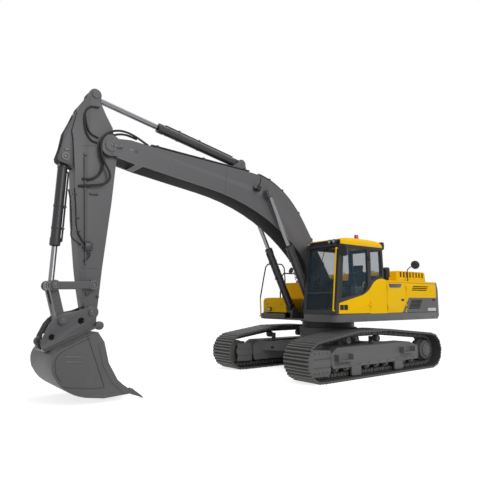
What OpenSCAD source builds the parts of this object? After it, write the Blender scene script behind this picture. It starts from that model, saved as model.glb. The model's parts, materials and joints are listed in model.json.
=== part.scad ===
// Crawler excavator, thirty tonne class, with one-piece boom, quick coupler and digging bucket.
// Millimetres. X points forward, Y to the cab side, Z up; the origin is on the ground under the slew axis.

/* [Tracks] */
// Distance between the track centre lines
track_gauge = 2590; // [2300:10:3000]
// Width of a track shoe
shoe_w = 700; // [550:10:900]
// Distance between the idler axle and the sprocket axle
axle_span = 4000; // [3500:10:4500]
// Number of shoes in one track
shoe_count = 51; // [44:1:58]
// Radius of the shoe seats around the idler and the sprocket
belt_r = 382; // [340:1:420]
// Thickness of a shoe plate
shoe_t = 16; // [10:1:24]
// Height of the grousers above the shoe plate
grouser_h = 32; // [20:1:45]
// Height of the chain between the shoe and the rollers
chain_h = 105; // [80:1:130]
// Width of the chain
chain_w = 190; // [150:5:240]
// Radius of the bottom rollers
roller_r = 85; // [70:1:100]
// Number of bottom rollers on each side
roller_count = 9; // [6:1:10]
// Radius of the carrier rollers
carrier_r = 80; // [60:1:100]
// Height of the carrier roller axles
carrier_z = 785; // [740:1:820]
// Radius of the lashing holes in the legs
lash_r = 38; // [30:1:42]

/* [Upper structure] */
// Underside of the skirts above the ground
deck_z = 1185; // [1120:5:1250]
// Width across the side doors
house_w = 2890; // [2600:10:3100]
// Height of the side skirts
sill_h = 178; // [140:1:220]
// Height of the top deck above the ground
house_z = 2140; // [2000:10:2300]
// Swing radius of the tail
tail_r = 3160; // [2900:10:3400]
// Depth of the counterweight at the middle
tail_l = 514; // [400:2:600]
// Height of the engine hood above the top deck
hood_h = 280; // [180:5:350]
// Thickness of the side doors
door_t = 45; // [30:1:60]
// Opening of the side doors
door_gap = 7; // [5:1:12]

/* [Cab] */
// Inner wall of the cab from the middle of the machine
cab_y0 = 468; // [460:1:500]
// Front of the cab at its floor
cab_x1 = 1345; // [1250:5:1450]
// Rear of the cab
cab_x0 = -480; // [-495:1:-430]
// Underside of the roof
roof_z = 2905; // [2750:5:2950]
// Backward lean of the windscreen from floor to roof
cab_lean = 172; // [100:2:220]
// Thickness of the yellow side panels
panel_t = 14; // [8:1:20]
// Thickness of the cab walls
cab_wall = 58; // [45:1:70]
// Thickness of the panes
glass_t = 8; // [5:1:12]
// Rear edge of the cab door
door_x0 = 146; // [100:1:200]

/* [Boom] */
// Boom length between its foot pin and its arm pin
boom_l = 6256; // [5600:10:6800]
// Half of the boom's width
boom_hw = 265; // [255:1:275]
// Angle of the boom's chord at rest
boom_a = 23.67; // [15:0.01:30]
// Thickness of the boom's plates
boom_t = 22; // [14:1:40]
// Half of the inside width of the fork at the boom's tip
fork_hw = 205; // [195:1:215]
// Boom foot pin, forward of the slew axis
foot_x = 230; // [150:5:300]
// Boom foot pin above the ground
foot_z = 1950; // [1880:5:2000]

/* [Arm] */
// Arm length between its boom pin and its nose pin
arm_l = 3018; // [2600:10:3400]
// Half of the arm's width
arm_hw = 165; // [150:1:175]
// Angle of the arm at rest, from forward
arm_a = -85.97; // [-95:0.01:-70]
// Thickness of the arm's plates
arm_t = 18; // [12:1:30]

/* [Bucket and coupler] */
// Half of the bucket's width
bucket_hw = 650; // [500:5:750]
// Thickness of the bucket's side plates
bucket_t = 32; // [20:1:45]
// Angle of the coupler's seat at rest
seat_a = -23.46; // [-30:0.01:-15]
// Distance of the coupler's seat below the nose pin
seat_d = 267; // [255:1:290]
// Number of teeth
tooth_count = 5; // [4:1:6]
// Inner face of the coupler's cheeks
cheek_y = 173; // [170:1:185]
// Thickness of the coupler's cheeks
cheek_t = 40; // [30:1:45]

/* [Cylinders and pins] */
// Distance of the boom cylinders from the middle of the machine
ram_y = 365; // [362:1:372]
// Radius of the boom cylinder barrels
ram_r = 84; // [75:1:88]
// Radius of the boom cylinder rods
ram_rod_r = 50; // [40:1:56]
// Radius of the arm cylinder barrel
arm_ram_r = 92; // [80:1:96]
// Radius of the arm cylinder rod
arm_rod_r = 55; // [45:1:60]
// Radius of the bucket cylinder barrel
bucket_ram_r = 82; // [70:1:86]
// Radius of the bucket cylinder rod
bucket_rod_r = 48; // [40:1:54]
// Radius of the large pins
pin_r = 55; // [45:1:60]
// Running clearance of the pins
pin_gap = 0.5; // [0.2:0.1:2]
// Running clearance of the rods
rod_gap = 0.5; // [0.2:0.1:2]
// Side clearance of the eyes
side_gap = 8; // [6:1:10]

/* [Hidden] */
$fn = 48;

dark = "#5d5d60";
yellow = "#e2a92a";
black = "#26272a";
chrome = "#c9ccd0";
glass = "#31404a";

track_y = track_gauge / 2;
axle_z = belt_r + shoe_t + grouser_h;
rail_z = axle_z - belt_r + chain_h;
roller_z = rail_z + roller_r;
chain_gap = 6;
frame_low = roller_z + roller_r + 7;
carriers = [0.21 * axle_span, -0.0525 * axle_span];
frame_in = track_y - 230;
house_y = house_w / 2;
tail_x = tail_r - tail_l;
cab_lean_a = atan(cab_lean / (roof_z - deck_z - sill_h));
hinge_y = house_y + 16;
jamb_x = -500;
hinge_z = [1500, 1960];
cab_hinge_z = [1560, 2640];
hood_hinge = [-1039, house_z + 20];
sill_z = deck_z + sill_h;
deck_t = 40;
plate_z = deck_z + deck_t;
plate_y = house_y - 245;
sill_x = cab_x1 - 15;
roof_t = 169;
mid_x = -1265;
hood_x0 = -tail_x - 40;
hood_x1 = -1055;
hood_x2 = -1352;
hood_y1 = 930;
hood_y = 1130;
hood_z = house_z + hood_h;
ring_z = deck_z - 45;
ring_r = 650;

function turn(p, a) = [p[0] * cos(a) - p[1] * sin(a), p[0] * sin(a) + p[1] * cos(a)];
function unit(a) = [cos(a), sin(a)];
function bend(p, q, r, n) = [for (i = [0:n]) let(t = i / n)
    (1 - t) * (1 - t) * p + 2 * t * (1 - t) * q + t * t * r];
function slope(p, q) = atan2(q[1] - p[1], q[0] - p[0]);

foot = [foot_x, foot_z];
tip = foot + turn([boom_l, 0], boom_a);
nose = tip + turn([arm_l, 0], arm_a);
ram_pin = [0.4336, 0.1792] * boom_l;
arm_ram_pin = [0.5596, 0.2372] * boom_l;
horn_pin = [-905, 354];
bucket_ram_pin = [372, 732];
link_pin = [arm_l - 464, 42];
rod_pin = [arm_l - 406, 679];
lever_pin = [497, 85];
ram_foot = foot + [650, -560];
ram_eye = foot + turn(ram_pin, boom_a);
arm_ram_foot = foot + turn(arm_ram_pin, boom_a);
arm_ram_eye = tip + turn(horn_pin, arm_a);
bucket_ram_foot = tip + turn(bucket_ram_pin, arm_a);
link_foot = tip + turn(link_pin, arm_a);
rod_eye = tip + turn(rod_pin, arm_a);
lever_eye = nose + turn(lever_pin, seat_a);
cheek_y1 = boom_hw + side_gap + 54;
link_y0 = cheek_y + cheek_t + 9;
link_y1 = link_y0 + 52;
eye_hw = 58;

// Places children in a plane frame with origin o, turned by a.
module frame_at(o, a) { translate([o[0], 0, o[1]]) rotate([0, -a, 0]) children(); }

// A plate cut from a side outline, between two distances from the middle.
module side(y0, y1) {
    translate([0, y1, 0]) rotate([90, 0, 0]) linear_extrude(height = y1 - y0) children();
}

// A slab cut from a plan outline, between two heights.
module slab(z0, z1) { translate([0, 0, z0]) linear_extrude(height = z1 - z0) children(); }

// A bar cut from a front outline, between two places along the machine.
module front(x0, x1) { translate([x0, 0, 0]) rotate([90, 0, 90]) linear_extrude(height = x1 - x0) children(); }

// An oblong with cut corners.
module offset_box(a0, a1, b0, b1, c) {
    polygon([[a0 + c, b0], [a1 - c, b0], [a1, b0 + c], [a1, b1 - c], [a1 - c, b1], [a0 + c, b1], [a0, b1 - c],
        [a0, b0 + c]]);
}

// A cylinder across the machine.
module cross(p, y0, y1, r) { translate([p[0], y0, p[1]]) rotate([-90, 0, 0]) cylinder(h = y1 - y0, r = r); }

// A block between two corners.
module block(p, q) { translate(p) cube(q - p); }

// Fixed half of an upright hinge: its pin between two lugs on the jamb, which lies on side s of the axis.
module hinge_pin(x, z, s) {
    translate([x, hinge_y, z - 60]) cylinder(h = 120, r = 8);
    for (e = [-60, 30]) {
        translate([x, hinge_y, z + e]) cylinder(h = 30, r = 14);
        block([min(x, x + s * 12), house_y, z + e], [max(x, x + s * 12), hinge_y + 14, z + e + 30]);
    }
}

// Moving half of an upright hinge, on the door's face on side s of the axis.
module hinge_leaf(x, z, s) {
    difference() {
        union() {
            translate([x, hinge_y, z - 29]) cylinder(h = 58, r = 14);
            block([min(x, x + s * 70), house_y, z - 29], [max(x, x + s * 70), hinge_y + 6, z + 29]);
        }
        translate([x, hinge_y, z - 70]) cylinder(h = 140, r = 8 + pin_gap);
    }
}

// The same on both sides.
module both() { children(); mirror([0, 1, 0]) children(); }

// The same at all four corners.
module four() {
    both() children();
    mirror([1, 0, 0]) both() children();
}

// A round bar from p to q.
module bar(p, q, r) {
    d = q - p;
    translate(p) rotate([0, acos(d[2] / norm(d)), atan2(d[1], d[0])]) cylinder(h = norm(d), r = r);
}

// A bent tube through the points p.
module tube(p, r) {
    for (i = [0:len(p) - 2]) bar(p[i], p[i + 1], r);
    if (len(p) > 2) for (i = [1:len(p) - 2]) translate(p[i]) sphere(r = r + 0.6);
}

belt = [[[-axle_span / 2, axle_z], belt_r], [[axle_span / 2, axle_z], belt_r],
    [[carriers[0], carrier_z], carrier_r + chain_h], [[carriers[1], carrier_z], carrier_r + chain_h]];
function gap(i) = belt[(i + 1) % 4][0] - belt[i][0];
function fall(i) = belt[i][1] - belt[(i + 1) % 4][1];
function lay(i) = atan2(gap(i)[1], gap(i)[0]) - acos(fall(i) / norm(gap(i)));
function facing(i) = lay(i) < -91 ? lay(i) + 360 : lay(i);
function run(i) = sqrt(norm(gap(i)) * norm(gap(i)) - fall(i) * fall(i));
function wrap(i) = facing((i + 1) % 4) + (i == 3 ? 360 : 0) - facing(i);
legs = [for (i = [0:3]) each [[0, i, run(i)], [1, i, belt[(i + 1) % 4][1] * wrap(i) * PI / 180]]];
function add(v, i = 0) = i >= len(v) ? 0 : v[i][2] + add(v, i + 1);
belt_l = add(legs);
function on_leg(g, s) = g[0] == 0
    ? [belt[g[1]][0] + belt[g[1]][1] * unit(facing(g[1])) + s * unit(facing(g[1]) + 90), facing(g[1])]
    : let(b = belt[(g[1] + 1) % 4], a = facing(g[1]) + s / b[1] * 180 / PI) [b[0] + b[1] * unit(a), a];
function walk(s, k = 0) = k == 7 || s <= legs[k][2] ? on_leg(legs[k], s) : walk(s - legs[k][2], k + 1);
seats = [for (i = [0:shoe_count - 1]) walk(i * belt_l / shoe_count)];
lug = shoe_t + grouser_h;
ribs = [[0.02, shoe_t], [0.05, lug], [0.15, lug], [0.3, shoe_t], [0.45, lug], [0.55, lug],
    [0.7, shoe_t], [0.85, lug], [0.95, lug]];
tread = [for (i = [0:shoe_count - 1]) let(a = seats[i][0], b = seats[(i + 1) % shoe_count][0], d = b - a)
    for (k = ribs) a + k[0] * d + k[1] * [d[1], -d[0]] / norm(d)];
inside = [for (s = seats) s[0]];
rail = [for (s = seats) s[0] - chain_h * unit(s[1])];
wheel_r = (belt_r - chain_h) * cos(belt_l / shoe_count / belt_r * 90 / PI) - 4;

// One ring between two closed outlines with the same number of corners or more.
module ring(outer, inner) {
    polygon(points = concat(outer, inner), paths = [[for (i = [0:len(outer) - 1]) i],
        [for (i = [0:len(inner) - 1]) len(outer) + i]]);
}

// A track: shoes with three grousers each, on a chain.
module track(y) {
    color(dark) {
        side(y - shoe_w / 2, y + shoe_w / 2) ring(tread, inside);
        side(y - chain_w / 2, y + chain_w / 2) ring(inside, rail);
    }
}

module track_left() { track(track_y); }

module track_right() { track(-track_y); }

leg_p = [640, 250];
leg_q = [1330, frame_in];
web_x = 79;
lash_z = 485;

// Centre of the undercarriage with its four legs, which have lashing holes in their webs.
module car_body() {
    color(dark) difference() {
        union() {
            translate([0, 0, 470]) cylinder(h = ring_z - 140 - 470, r = ring_r + 60);
            slab(400, 660) polygon([[-560, -620], [560, -620], [560, 620], [-560, 620]]);
            four() {
                slab(540, 640) polygon([[60, 560], leg_p, leg_q, [760, frame_in]]);
                slab(410, 640) polygon([leg_p, leg_q, leg_q - [web_x, 0], leg_p - [web_x, 0]]);
                slab(440, 640) polygon([[60, 560], [760, frame_in], [840, frame_in], [140, 520]]);
            }
        }
        four() translate(concat(leg_p + 0.73 * (leg_q - leg_p), lash_z))
            rotate([90, 0, slope(leg_p, leg_q)]) translate([0, 0, -150]) cylinder(h = 300, r = lash_r);
    }
}

// Outer race of the swing bearing, bolted to the undercarriage.
module slew_ring() {
    color(black) translate([0, 0, ring_z - 140]) difference() {
        cylinder(h = 140 - pin_gap, r = ring_r);
        translate([0, 0, -1]) cylinder(h = 142, r = ring_r - 110);
    }
}

cover_y = track_y + 188;
guards = [0.202, -0.184] * axle_span;
guard_w = 320;
steps = [[0.31 * axle_span, 398], [-0.263 * axle_span, 430]];
step_w = 470;

// Track frames with roller guards, idler yokes and covers, drive brackets and steps.
module track_frames() {
    color(dark) both() {
        a = axle_span / 2;
        difference() {
            union() {
                side(frame_in, track_y + 200) polygon([[-a + 420, frame_low], [a - 420, frame_low], [a - 420, 560],
                    [a - 620, 670], [-a + 760, 670], [-a + 420, 560]]);
                for (k = [[-190, 190], [190, roller_z + 12]]) side(track_y + k[0] - 20, track_y + k[0] + 20)
                    polygon([[-a + 470, k[1]], [a - 470, k[1]], [a - 420, frame_low], [-a + 420, frame_low]]);
                for (s = [-1, 1]) side(track_y + s * 145 - 35, track_y + s * 145 + 35)
                    polygon([[a - 430, 345], [a - 40, 345], [a + 70, 380], [a + 70, 480], [a - 40, 515],
                        [a - 430, 515]]);
                side(frame_in, track_y - 120) polygon([[-a + 430, 320], [-a - 60, 320], [-a - 130, axle_z],
                    [-a - 60, 560], [-a + 430, 600]]);
                for (c = carriers) block([c - 45, frame_in + 40, 660], [c + 45, frame_in + 90, carrier_z + 40]);
                side(track_y + 140, cover_y) polygon([[a - 420, 200], [a - 350, 108], [a + 180, 125], [a + 212, 180],
                    [a + 203, 640], [a + 150, 668], [a - 420, 625]]);
                for (x = guards) side(track_y + 170, track_y + 225)
                    offset_box(x - guard_w / 2, x + guard_w / 2, 66, 270, 18);
            }
            for (z = [282, 455]) block([a - 410, cover_y - 18, z], [a + 85, cover_y + 5, z + 26]);
        }
        for (k = steps) for (e = [-step_w / 2, step_w / 2 - 20]) {
            block([k[0] - step_w / 2, track_y + 200, k[1]], [k[0] + step_w / 2, track_y + 330, k[1] + 22]);
            block([k[0] + e, track_y + 200, k[1]], [k[0] + e + 20, track_y + 330, k[1] + 140]);
        }
    }
}

// Front idlers on their axles.
module idlers() {
    color(dark) both() {
        cross([axle_span / 2, axle_z], track_y - 110, track_y + 110, 60);
        cross([axle_span / 2, axle_z], track_y - 88, track_y + 88, wheel_r);
    }
}

// Sprockets with their final drives.
module drive_sprockets() {
    color(dark) both() {
        cross([-axle_span / 2, axle_z], track_y - 40, track_y + 40, wheel_r);
        cross([-axle_span / 2, axle_z], track_y - 120, track_y + 150, 228);
        cross([-axle_span / 2, axle_z], track_y + 150, track_y + 190, 165);
    }
}

// Bottom rollers and carrier rollers.
module rollers() {
    color(dark) both() {
        step = (axle_span - 1240) / (roller_count - 1);
        for (i = [0:roller_count - 1]) let(p = [-axle_span / 2 + 620 + i * step, roller_z]) {
            cross(p, track_y - 170, track_y + 170, 35);
            cross(p, track_y - 120, track_y + 120, roller_r);
        }
        for (c = carriers) {
            cross([c, carrier_z], frame_in + 90, track_y + 60, 32);
            cross([c, carrier_z], track_y - 70, track_y + 60, carrier_r - chain_gap);
        }
    }
}

// Revolving frame: bearing flange, deck plate, boom cheeks and cylinder feet.
module revolving_frame() {
    cheek = cheek_y1 - 50;
    color(dark) {
        translate([0, 0, ring_z]) cylinder(h = deck_z - ring_z, r = ring_r + 40);
        slab(deck_z, plate_z) polygon([[-tail_x, -plate_y], [1000, -plate_y], [1000, -470], [1040, -470],
            [1040, cab_y0], [sill_x - 180, cab_y0], [sill_x - 180, plate_y], [-tail_x, plate_y]]);
        both() {
            side(cheek, cheek + 50) {
                polygon([[-1300, plate_z], [-900, plate_z + 260], [-240, plate_z + 420],
                    foot + [-165, 0], foot + [165, 0], foot + [360, -340], [650, plate_z + 140], [650, plate_z]]);
                translate(foot) circle(r = 165);
            }
            cross(foot, cheek + 50, cheek + 80, 110);
            side(ram_y - eye_hw - side_gap - 34, ram_y - eye_hw - side_gap) {
                polygon([[650, plate_z], ram_foot + [-105, 0], ram_foot + [105, 0], [1030, plate_z]]);
                translate(ram_foot) circle(r = 105);
            }
            cross(ram_foot, ram_y - eye_hw - side_gap - 10, ram_y + eye_hw + 4, pin_r);
            cross(ram_foot, ram_y + eye_hw + 4, ram_y + eye_hw + 20, pin_r + 20);
        }
        cross(foot, -cheek - 10, cheek + 10, pin_r);
        side(-cheek - 10, cheek + 10) polygon([[-600, plate_z], [-560, plate_z], [-560, plate_z + 330],
            [-600, plate_z + 330]]);
    }
}

// Skirts along both sides and under the front of the cab.
module side_sills() {
    color(dark) slab(deck_z, sill_z) {
        polygon(concat([[-tail_x, plate_y], [sill_x - 180, plate_y], [sill_x - 180, cab_y0], [sill_x, cab_y0]],
            bend([sill_x, house_y - 190], [sill_x - 20, house_y], [sill_x - 230, house_y], 6),
            [[-tail_x, house_y]]));
        polygon([[-tail_x, -plate_y], [1000, -plate_y], [1000, -house_y + 90], [940, -house_y],
            [-tail_x, -house_y]]);
    }
}

tail_a = asin((house_y - 120) / tail_r);
tail_edge = [for (i = [0:12]) -tail_r * [cos(tail_a * (1 - i / 6)), sin(tail_a * (1 - i / 6))]];

// Counterweight, round to the swing radius, drawn in at the top and the bottom.
module counterweight() {
    edge = concat([[-tail_x, -house_y], [-tail_x - 90, -house_y]], tail_edge,
        [[-tail_x - 90, house_y], [-tail_x, house_y]]);
    color(dark) difference() {
        slab(deck_z, house_z) polygon(edge);
        for (k = [[deck_z - 1, 150, tail_r - 150, tail_r], [house_z - 420, 421, tail_r, tail_r - 120]])
            translate([0, 0, k[0]]) difference() {
                cylinder(h = k[1], r = tail_r + 300);
                translate([0, 0, -1]) cylinder(h = k[1] + 2, r1 = k[2], r2 = k[3], $fn = 96);
                translate([-tail_x - 20, -3000, -2]) cube([9000, 6000, k[1] + 4]);
            }
    }
}

// Engine, one plain block.
module engine() { color(black) block([-tail_x + 166, -760, plate_z], [-tail_x + 1126, 760, house_z - 90]); }

// Top deck with its posts and the wall behind the cab.
module deck_cover() {
    y = house_y;
    color(yellow) {
        slab(house_z - 40, house_z) difference() {
            polygon([[-tail_x, -y], [-500, -y], [-500, y], [-tail_x, y]]);
            polygon([[-tail_x + 80, -hood_y + 60], [hood_x2 - 60, -hood_y + 60], [hood_x2 - 60, hood_y - 60],
                [-tail_x + 80, hood_y - 60]]);
        }
        both() block([jamb_x, y - door_t - door_gap - 60, sill_z], [jamb_x + 14, y, house_z]);
        block([mid_x - 12, y - door_t - door_gap - 60, sill_z], [mid_x + 12, y, house_z]);
        for (z = hinge_z) {
            both() hinge_pin(jamb_x, z, 1);
            hinge_pin(mid_x - 12, z, 1);
        }
        both() for (y = [700]) {
            cross(hood_hinge, y - 60, y + 60, 6);
            for (e = [-60, 35]) {
                cross(hood_hinge, y + e, y + e + 25, 11);
                block([hood_hinge[0] - 10, y + e, house_z - 5], [hood_hinge[0] + 10, y + e + 25, hood_hinge[1]]);
            }
        }
        both() for (x = [-560, mid_x - 30, -tail_x])
            block([x, y - door_t - door_gap - 60, sill_z], [x + 60, y - door_t - door_gap, house_z - 40]);
        difference() {
            union() {
                block([-560, -y + door_t + door_gap, sill_z], [-530, y - door_t - door_gap, house_z - 40]);
                block([-560, -plate_y, plate_z], [-530, plate_y, sill_z + 10]);
            }
            block([-570, -cheek_y1 - 8, plate_z - 5], [-520, cheek_y1 + 8, plate_z + 380]);
        }
    }
}

// Fuel tank on the right.
module fuel_tank() {
    color(yellow) block([jamb_x + 14, -house_y, sill_z], [250, -480, house_z]);
}

// Toolbox ahead of the tank, with its bumper and step.
module toolbox() {
    color(yellow) {
        front(250, 1000) polygon([[-house_y + 90, sill_z], [-480, sill_z], [-480, 1700], [-500, 1720],
            [-house_y + 150, 1720], [-house_y + 90, 1660]]);
        both_lids();
    }
    color(dark) {
        block([1000, -house_y + 60, deck_z + 10], [1060, -480, deck_z + 150]);
        block([1060, -house_y + 60, deck_z + 60], [1125, -620, deck_z + 80]);
    }
}

// Two lids on the toolbox and its front latch bar.
module both_lids() {
    for (y = [-house_y + 180, -house_y + 540]) block([300, y, 1720], [950, y + 300, 1732]);
    block([1000, -house_y + 220, 1500], [1014, -620, 1640]);
}

// Handrails at the right front, along the tank and beside the windscreen.
module handrails() {
    y = -house_y + 95;
    lean = [cos(cab_lean_a), 0, sin(cab_lean_a)];
    color(black) {
        tube([[1095, y, deck_z + 80], [1095, y, 1420], [1107, y, 1735], [997, y, 2219], [915, y, 2550], [850, y, 2625],
            [669, y, 2655], [330, y, 2655], [240, y, 2560], [215, y, house_z + 120], [215, y, house_z]], 17);
        tube([[975, y + 640, 1720], [975, y + 640, 1850], [900, y + 640, 2300], [840, y + 640, 2360],
            [320, y + 640, 2360], [230, y + 640, 2290], [215, y + 640, house_z + 80], [215, y + 640, house_z]], 17);
    }
    low = [front_x(1440), house_y - 40, 1440];
    high = [front_x(2800), house_y - 40, 2800];
    color(yellow) tube([low, low + 48 * lean, high + 48 * lean, high], 15);
}

// Mirrors on their stalks.
module mirrors() {
    x = front_x(2886) - 25;
    color(black) {
        tube([[x, house_y, 2886], [x, house_y + 60, 2886], [x, house_y + 95, 2855]], 11);
        front(x - 20, x + 20) offset_box(house_y + 28, house_y + 192, 2620, 2860, 30);
        tube([[-1720, hood_y + 90, house_z], [-1720, hood_y + 90, 2450], [-1800, hood_y + 120, 2520],
            [-1990, hood_y + 150, 2575]], 12);
        translate([-1980, hood_y + 150, 2580]) rotate([0, -75, 20]) cylinder(h = 45, r1 = 60, r2 = 112);
        tube([[190, -900, house_z], [190, -900, house_z + 50], [262, -900, house_z + 90], [262, -900, 2390],
            [385, -900, 2450]], 9);
        translate([375, -900, 2450]) rotate([0, 78, 0]) cylinder(h = 35, r1 = 45, r2 = 86);
    }
}

// Exhaust and air cleaner on the deck.
module exhaust() {
    color(dark) {
        translate([-880, hood_y + 40, house_z]) {
            cylinder(h = 95, r = 62);
            translate([0, 0, 95]) cylinder(h = 200, r = 86);
            translate([0, 0, 295]) cylinder(h = 45, r1 = 96, r2 = 60);
        }
        translate([-2000, -house_y + 190, house_z]) cylinder(h = 330, r = 65);
    }
}

// Engine hood with upright louvres and a narrower front.
module engine_hood() {
    z0 = house_z + 6;
    t = 25;
    color(yellow) {
        difference() {
            union() {
                side(-hood_y, hood_y) polygon([[hood_x0, z0], [hood_x2, z0], [hood_x2, hood_z - 30],
                    [hood_x2 - 40, hood_z], [hood_x0 + 70, hood_z], [hood_x0 + 20, hood_z - 50]]);
                side(-hood_y1, hood_y1) polygon([[hood_x2 - 10, z0], [hood_x1, z0], [hood_x1, hood_z - 110],
                    [hood_x1 - 50, hood_z - 30], [hood_x1 - 110, hood_z - 15], [hood_x2 - 10, hood_z - 15]]);
            }
            side(-hood_y + t, hood_y - t) polygon([[hood_x0 + 30, z0 - 5], [hood_x2 - t, z0 - 5],
                [hood_x2 - t, hood_z - 60], [hood_x2 - 60, hood_z - t], [hood_x0 + 90, hood_z - t],
                [hood_x0 + 45, hood_z - 70]]);
            side(-hood_y1 + t, hood_y1 - t) polygon([[hood_x2 - t - 5, z0 - 5], [hood_x1 - t, z0 - 5],
                [hood_x1 - t, hood_z - 120], [hood_x1 - 120, hood_z - 15 - t], [hood_x2 - t - 5, hood_z - 15 - t]]);
            both() for (i = [0:7]) block([hood_x2 - 240 - i * 142, hood_y - t - 5, z0 + 115],
                [hood_x2 - 165 - i * 142, hood_y + 5, hood_z - 25]);
        }
        both() difference() {
            union() {
                cross(hood_hinge, 666, 734, 14);
                block([hood_x1 - 10, 666, z0 + 6], [hood_hinge[0], 734, hood_hinge[1] + 12]);
            }
            cross(hood_hinge, 660, 740, 6 + pin_gap);
        }
    }
}

// A side door, plain.
module side_door(x0, x1, axis_x) {
    for (z = hinge_z) hinge_leaf(axis_x, z, -1);
    block([x0, house_y - door_t, sill_z + door_gap], [x1, house_y, house_z - 40 - door_gap]);
}

// Cuts for a slanted grille with n bars, whose front lower corner is at x, z.
module grille(x, z, w, h, n) {
    for (i = [0:n - 1]) let(a = h / n, d = 0.65 * i * a) side(house_y - door_t - 5, house_y + 5)
        polygon([[x - d, z + i * a], [x - w - d, z + i * a], [x - w - d - 0.38 * a, z + (i + 0.58) * a],
            [x - d - 0.38 * a, z + (i + 0.58) * a]]);
}

module left_front_door() { color(yellow) side_door(mid_x + 19, jamb_x - door_gap, jamb_x); }

module left_rear_door() {
    color(yellow) difference() {
        side_door(-tail_x + 8, mid_x - 19, mid_x - 12);
        grille(mid_x - 90, sill_z + 95, 490, 235, 7);
        grille(mid_x - 257, house_z - 230, 690, 135, 3);
    }
}

module right_rear_door() {
    color(yellow) mirror([0, 1, 0]) difference() {
        side_door(-tail_x + 8, jamb_x - door_gap, jamb_x);
        grille(mid_x - 90, sill_z + 95, 490, 235, 7);
        grille(mid_x - 257, house_z - 230, 690, 135, 3);
    }
}

cab_z0 = sill_z;
cab_z1 = cab_z0 + 60;
function front_x(z) = cab_x1 - (z - cab_z0) * cab_lean / (roof_z - cab_z0);
back_x = cab_x0 + 85;
cab_line = [[cab_x1, cab_z0], [front_x(roof_z), roof_z], [back_x + 25, roof_z], [back_x, cab_z0 + 820],
    [cab_x0, cab_z0 + 779], [cab_x0, cab_z0]];
win_z0 = cab_z0 + 790;
win_z1 = roof_z - 75;
bar_z = cab_z0 + 465;
sweep = concat([[cab_x1, cab_z0 + 213]], bend([door_x0 + 274, cab_z0 + 417], [door_x0 + 54, cab_z0 + 487],
    [door_x0 - 96, cab_z0 + 666], 5), bend([door_x0 - 110, cab_z0 + 680], [door_x0 - 236, cab_z0 + 802],
    [cab_x0 + 153, cab_z0 + 809], 5), [[cab_x0, cab_z0 + 779]]);

// Floor of the cab.
module cab_floor() {
    color(black) block([cab_x0 + cab_wall, cab_y0 + cab_wall, cab_z0],
        [cab_x1 - cab_wall - 30, house_y - cab_wall, cab_z1]);
}

// Outline of the door opening, drawn in by d.
module door_line(d) {
    polygon([[door_x0 + d, cab_z0 + 4 + d], [cab_x1 - 95 - d, cab_z0 + 4 + d],
        [front_x(roof_z - 30) - 95 - d, roof_z - 30 - d], [door_x0 + d, roof_z - 30 - d]]);
}

// Outline of the panes in the door, behind it, on the right and in the windscreen.
module door_pane() {
    polygon([[front_x(cab_z0 + 341) - 165, cab_z0 + 341], [door_x0 + 225, cab_z0 + 467], [door_x0 + 72, cab_z0 + 615],
        [door_x0 + 72, win_z1], [front_x(win_z1) - 160, win_z1]]);
}

module rear_pane() {
    polygon([[door_x0 - 55, cab_z0 + 745], [door_x0 - 55, win_z1], [cab_x0 + 190, win_z1], [cab_x0 + 158, cab_z0 + 1130],
        [cab_x0 + 168, cab_z0 + 875], [cab_x0 + 330, cab_z0 + 865]]);
}

module right_pane() {
    polygon([[cab_x0 + 168, win_z0], [front_x(win_z0) - 110, win_z0], [front_x(win_z1) - 110, win_z1],
        [cab_x0 + 190, win_z1]]);
}

module screen_cut(z0, z1) {
    side(cab_y0 + cab_wall + 45, house_y - cab_wall - 25) polygon([[front_x(z0) - 150, z0], [front_x(z0) + 60, z0],
        [front_x(z1) + 60, z1], [front_x(z1) - 150, z1]]);
}

module screen(z0, z1) {
    side(cab_y0 + cab_wall + 45, house_y - cab_wall - 25) polygon([[front_x(z0) - 22, z0], [front_x(z1) - 22, z1],
        [front_x(z1) - 22 - glass_t, z1], [front_x(z0) - 22 - glass_t, z0]]);
}

// The part of the cab's side under the sweeping line.
module under_sweep() { polygon(concat(sweep, [[cab_x0, cab_z0 - 5], [cab_x1, cab_z0 - 5]])); }

// Outline of the panel behind the door.
module panel_line() {
    intersection() {
        under_sweep();
        translate([cab_x0 - 5, cab_z0]) square([door_x0 - cab_x0 + 5, 2000]);
    }
}

// Cab frame with its pillars, open for the door and the panes, with a visor above the windscreen.
module cab_frame() {
    w = cab_wall;
    color(black) {
        difference() {
            union() {
                side(cab_y0, house_y) polygon(cab_line);
                side(cab_y0 + 60, house_y - 40) polygon([[front_x(roof_z - 50) - 20, roof_z - 50],
                    [front_x(roof_z) + 100, roof_z - 58], [front_x(roof_z) + 100, roof_z - 8],
                    [front_x(roof_z - 8) - 20, roof_z - 8]]);
            }
            side(cab_y0 + w, house_y - w) polygon([[cab_x1 - w - 6, cab_z0 - 5], [front_x(roof_z) - w, roof_z + 5],
                [back_x + 25 + w, roof_z + 5], [back_x + w, cab_z0 + 820], [cab_x0 + w, cab_z0 + 760],
                [cab_x0 + w, cab_z0 - 5]]);
            side(house_y - w - 5, house_y + 5) {
                door_line(0);
                rear_pane();
            }
            side(cab_y0 - 5, cab_y0 + w + 5) right_pane();
            screen_cut(cab_z0 + 90, bar_z - 22);
            screen_cut(bar_z + 22, win_z1 - 15);
            block([cab_x0 - 5, cab_y0 + w + 30, win_z0 + 90], [back_x + w + 60, house_y - w - 30, win_z1]);
            side(house_y - panel_t, house_y + 5) panel_line();
        }
        hinge_pin(door_x0, cab_hinge_z[1], -1);
    }
}

// Side panel behind the door.
module cab_panel() {
    color(yellow) {
        side(house_y - panel_t, house_y) panel_line();
        hinge_pin(door_x0, cab_hinge_z[0], -1);
    }
}

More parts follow.
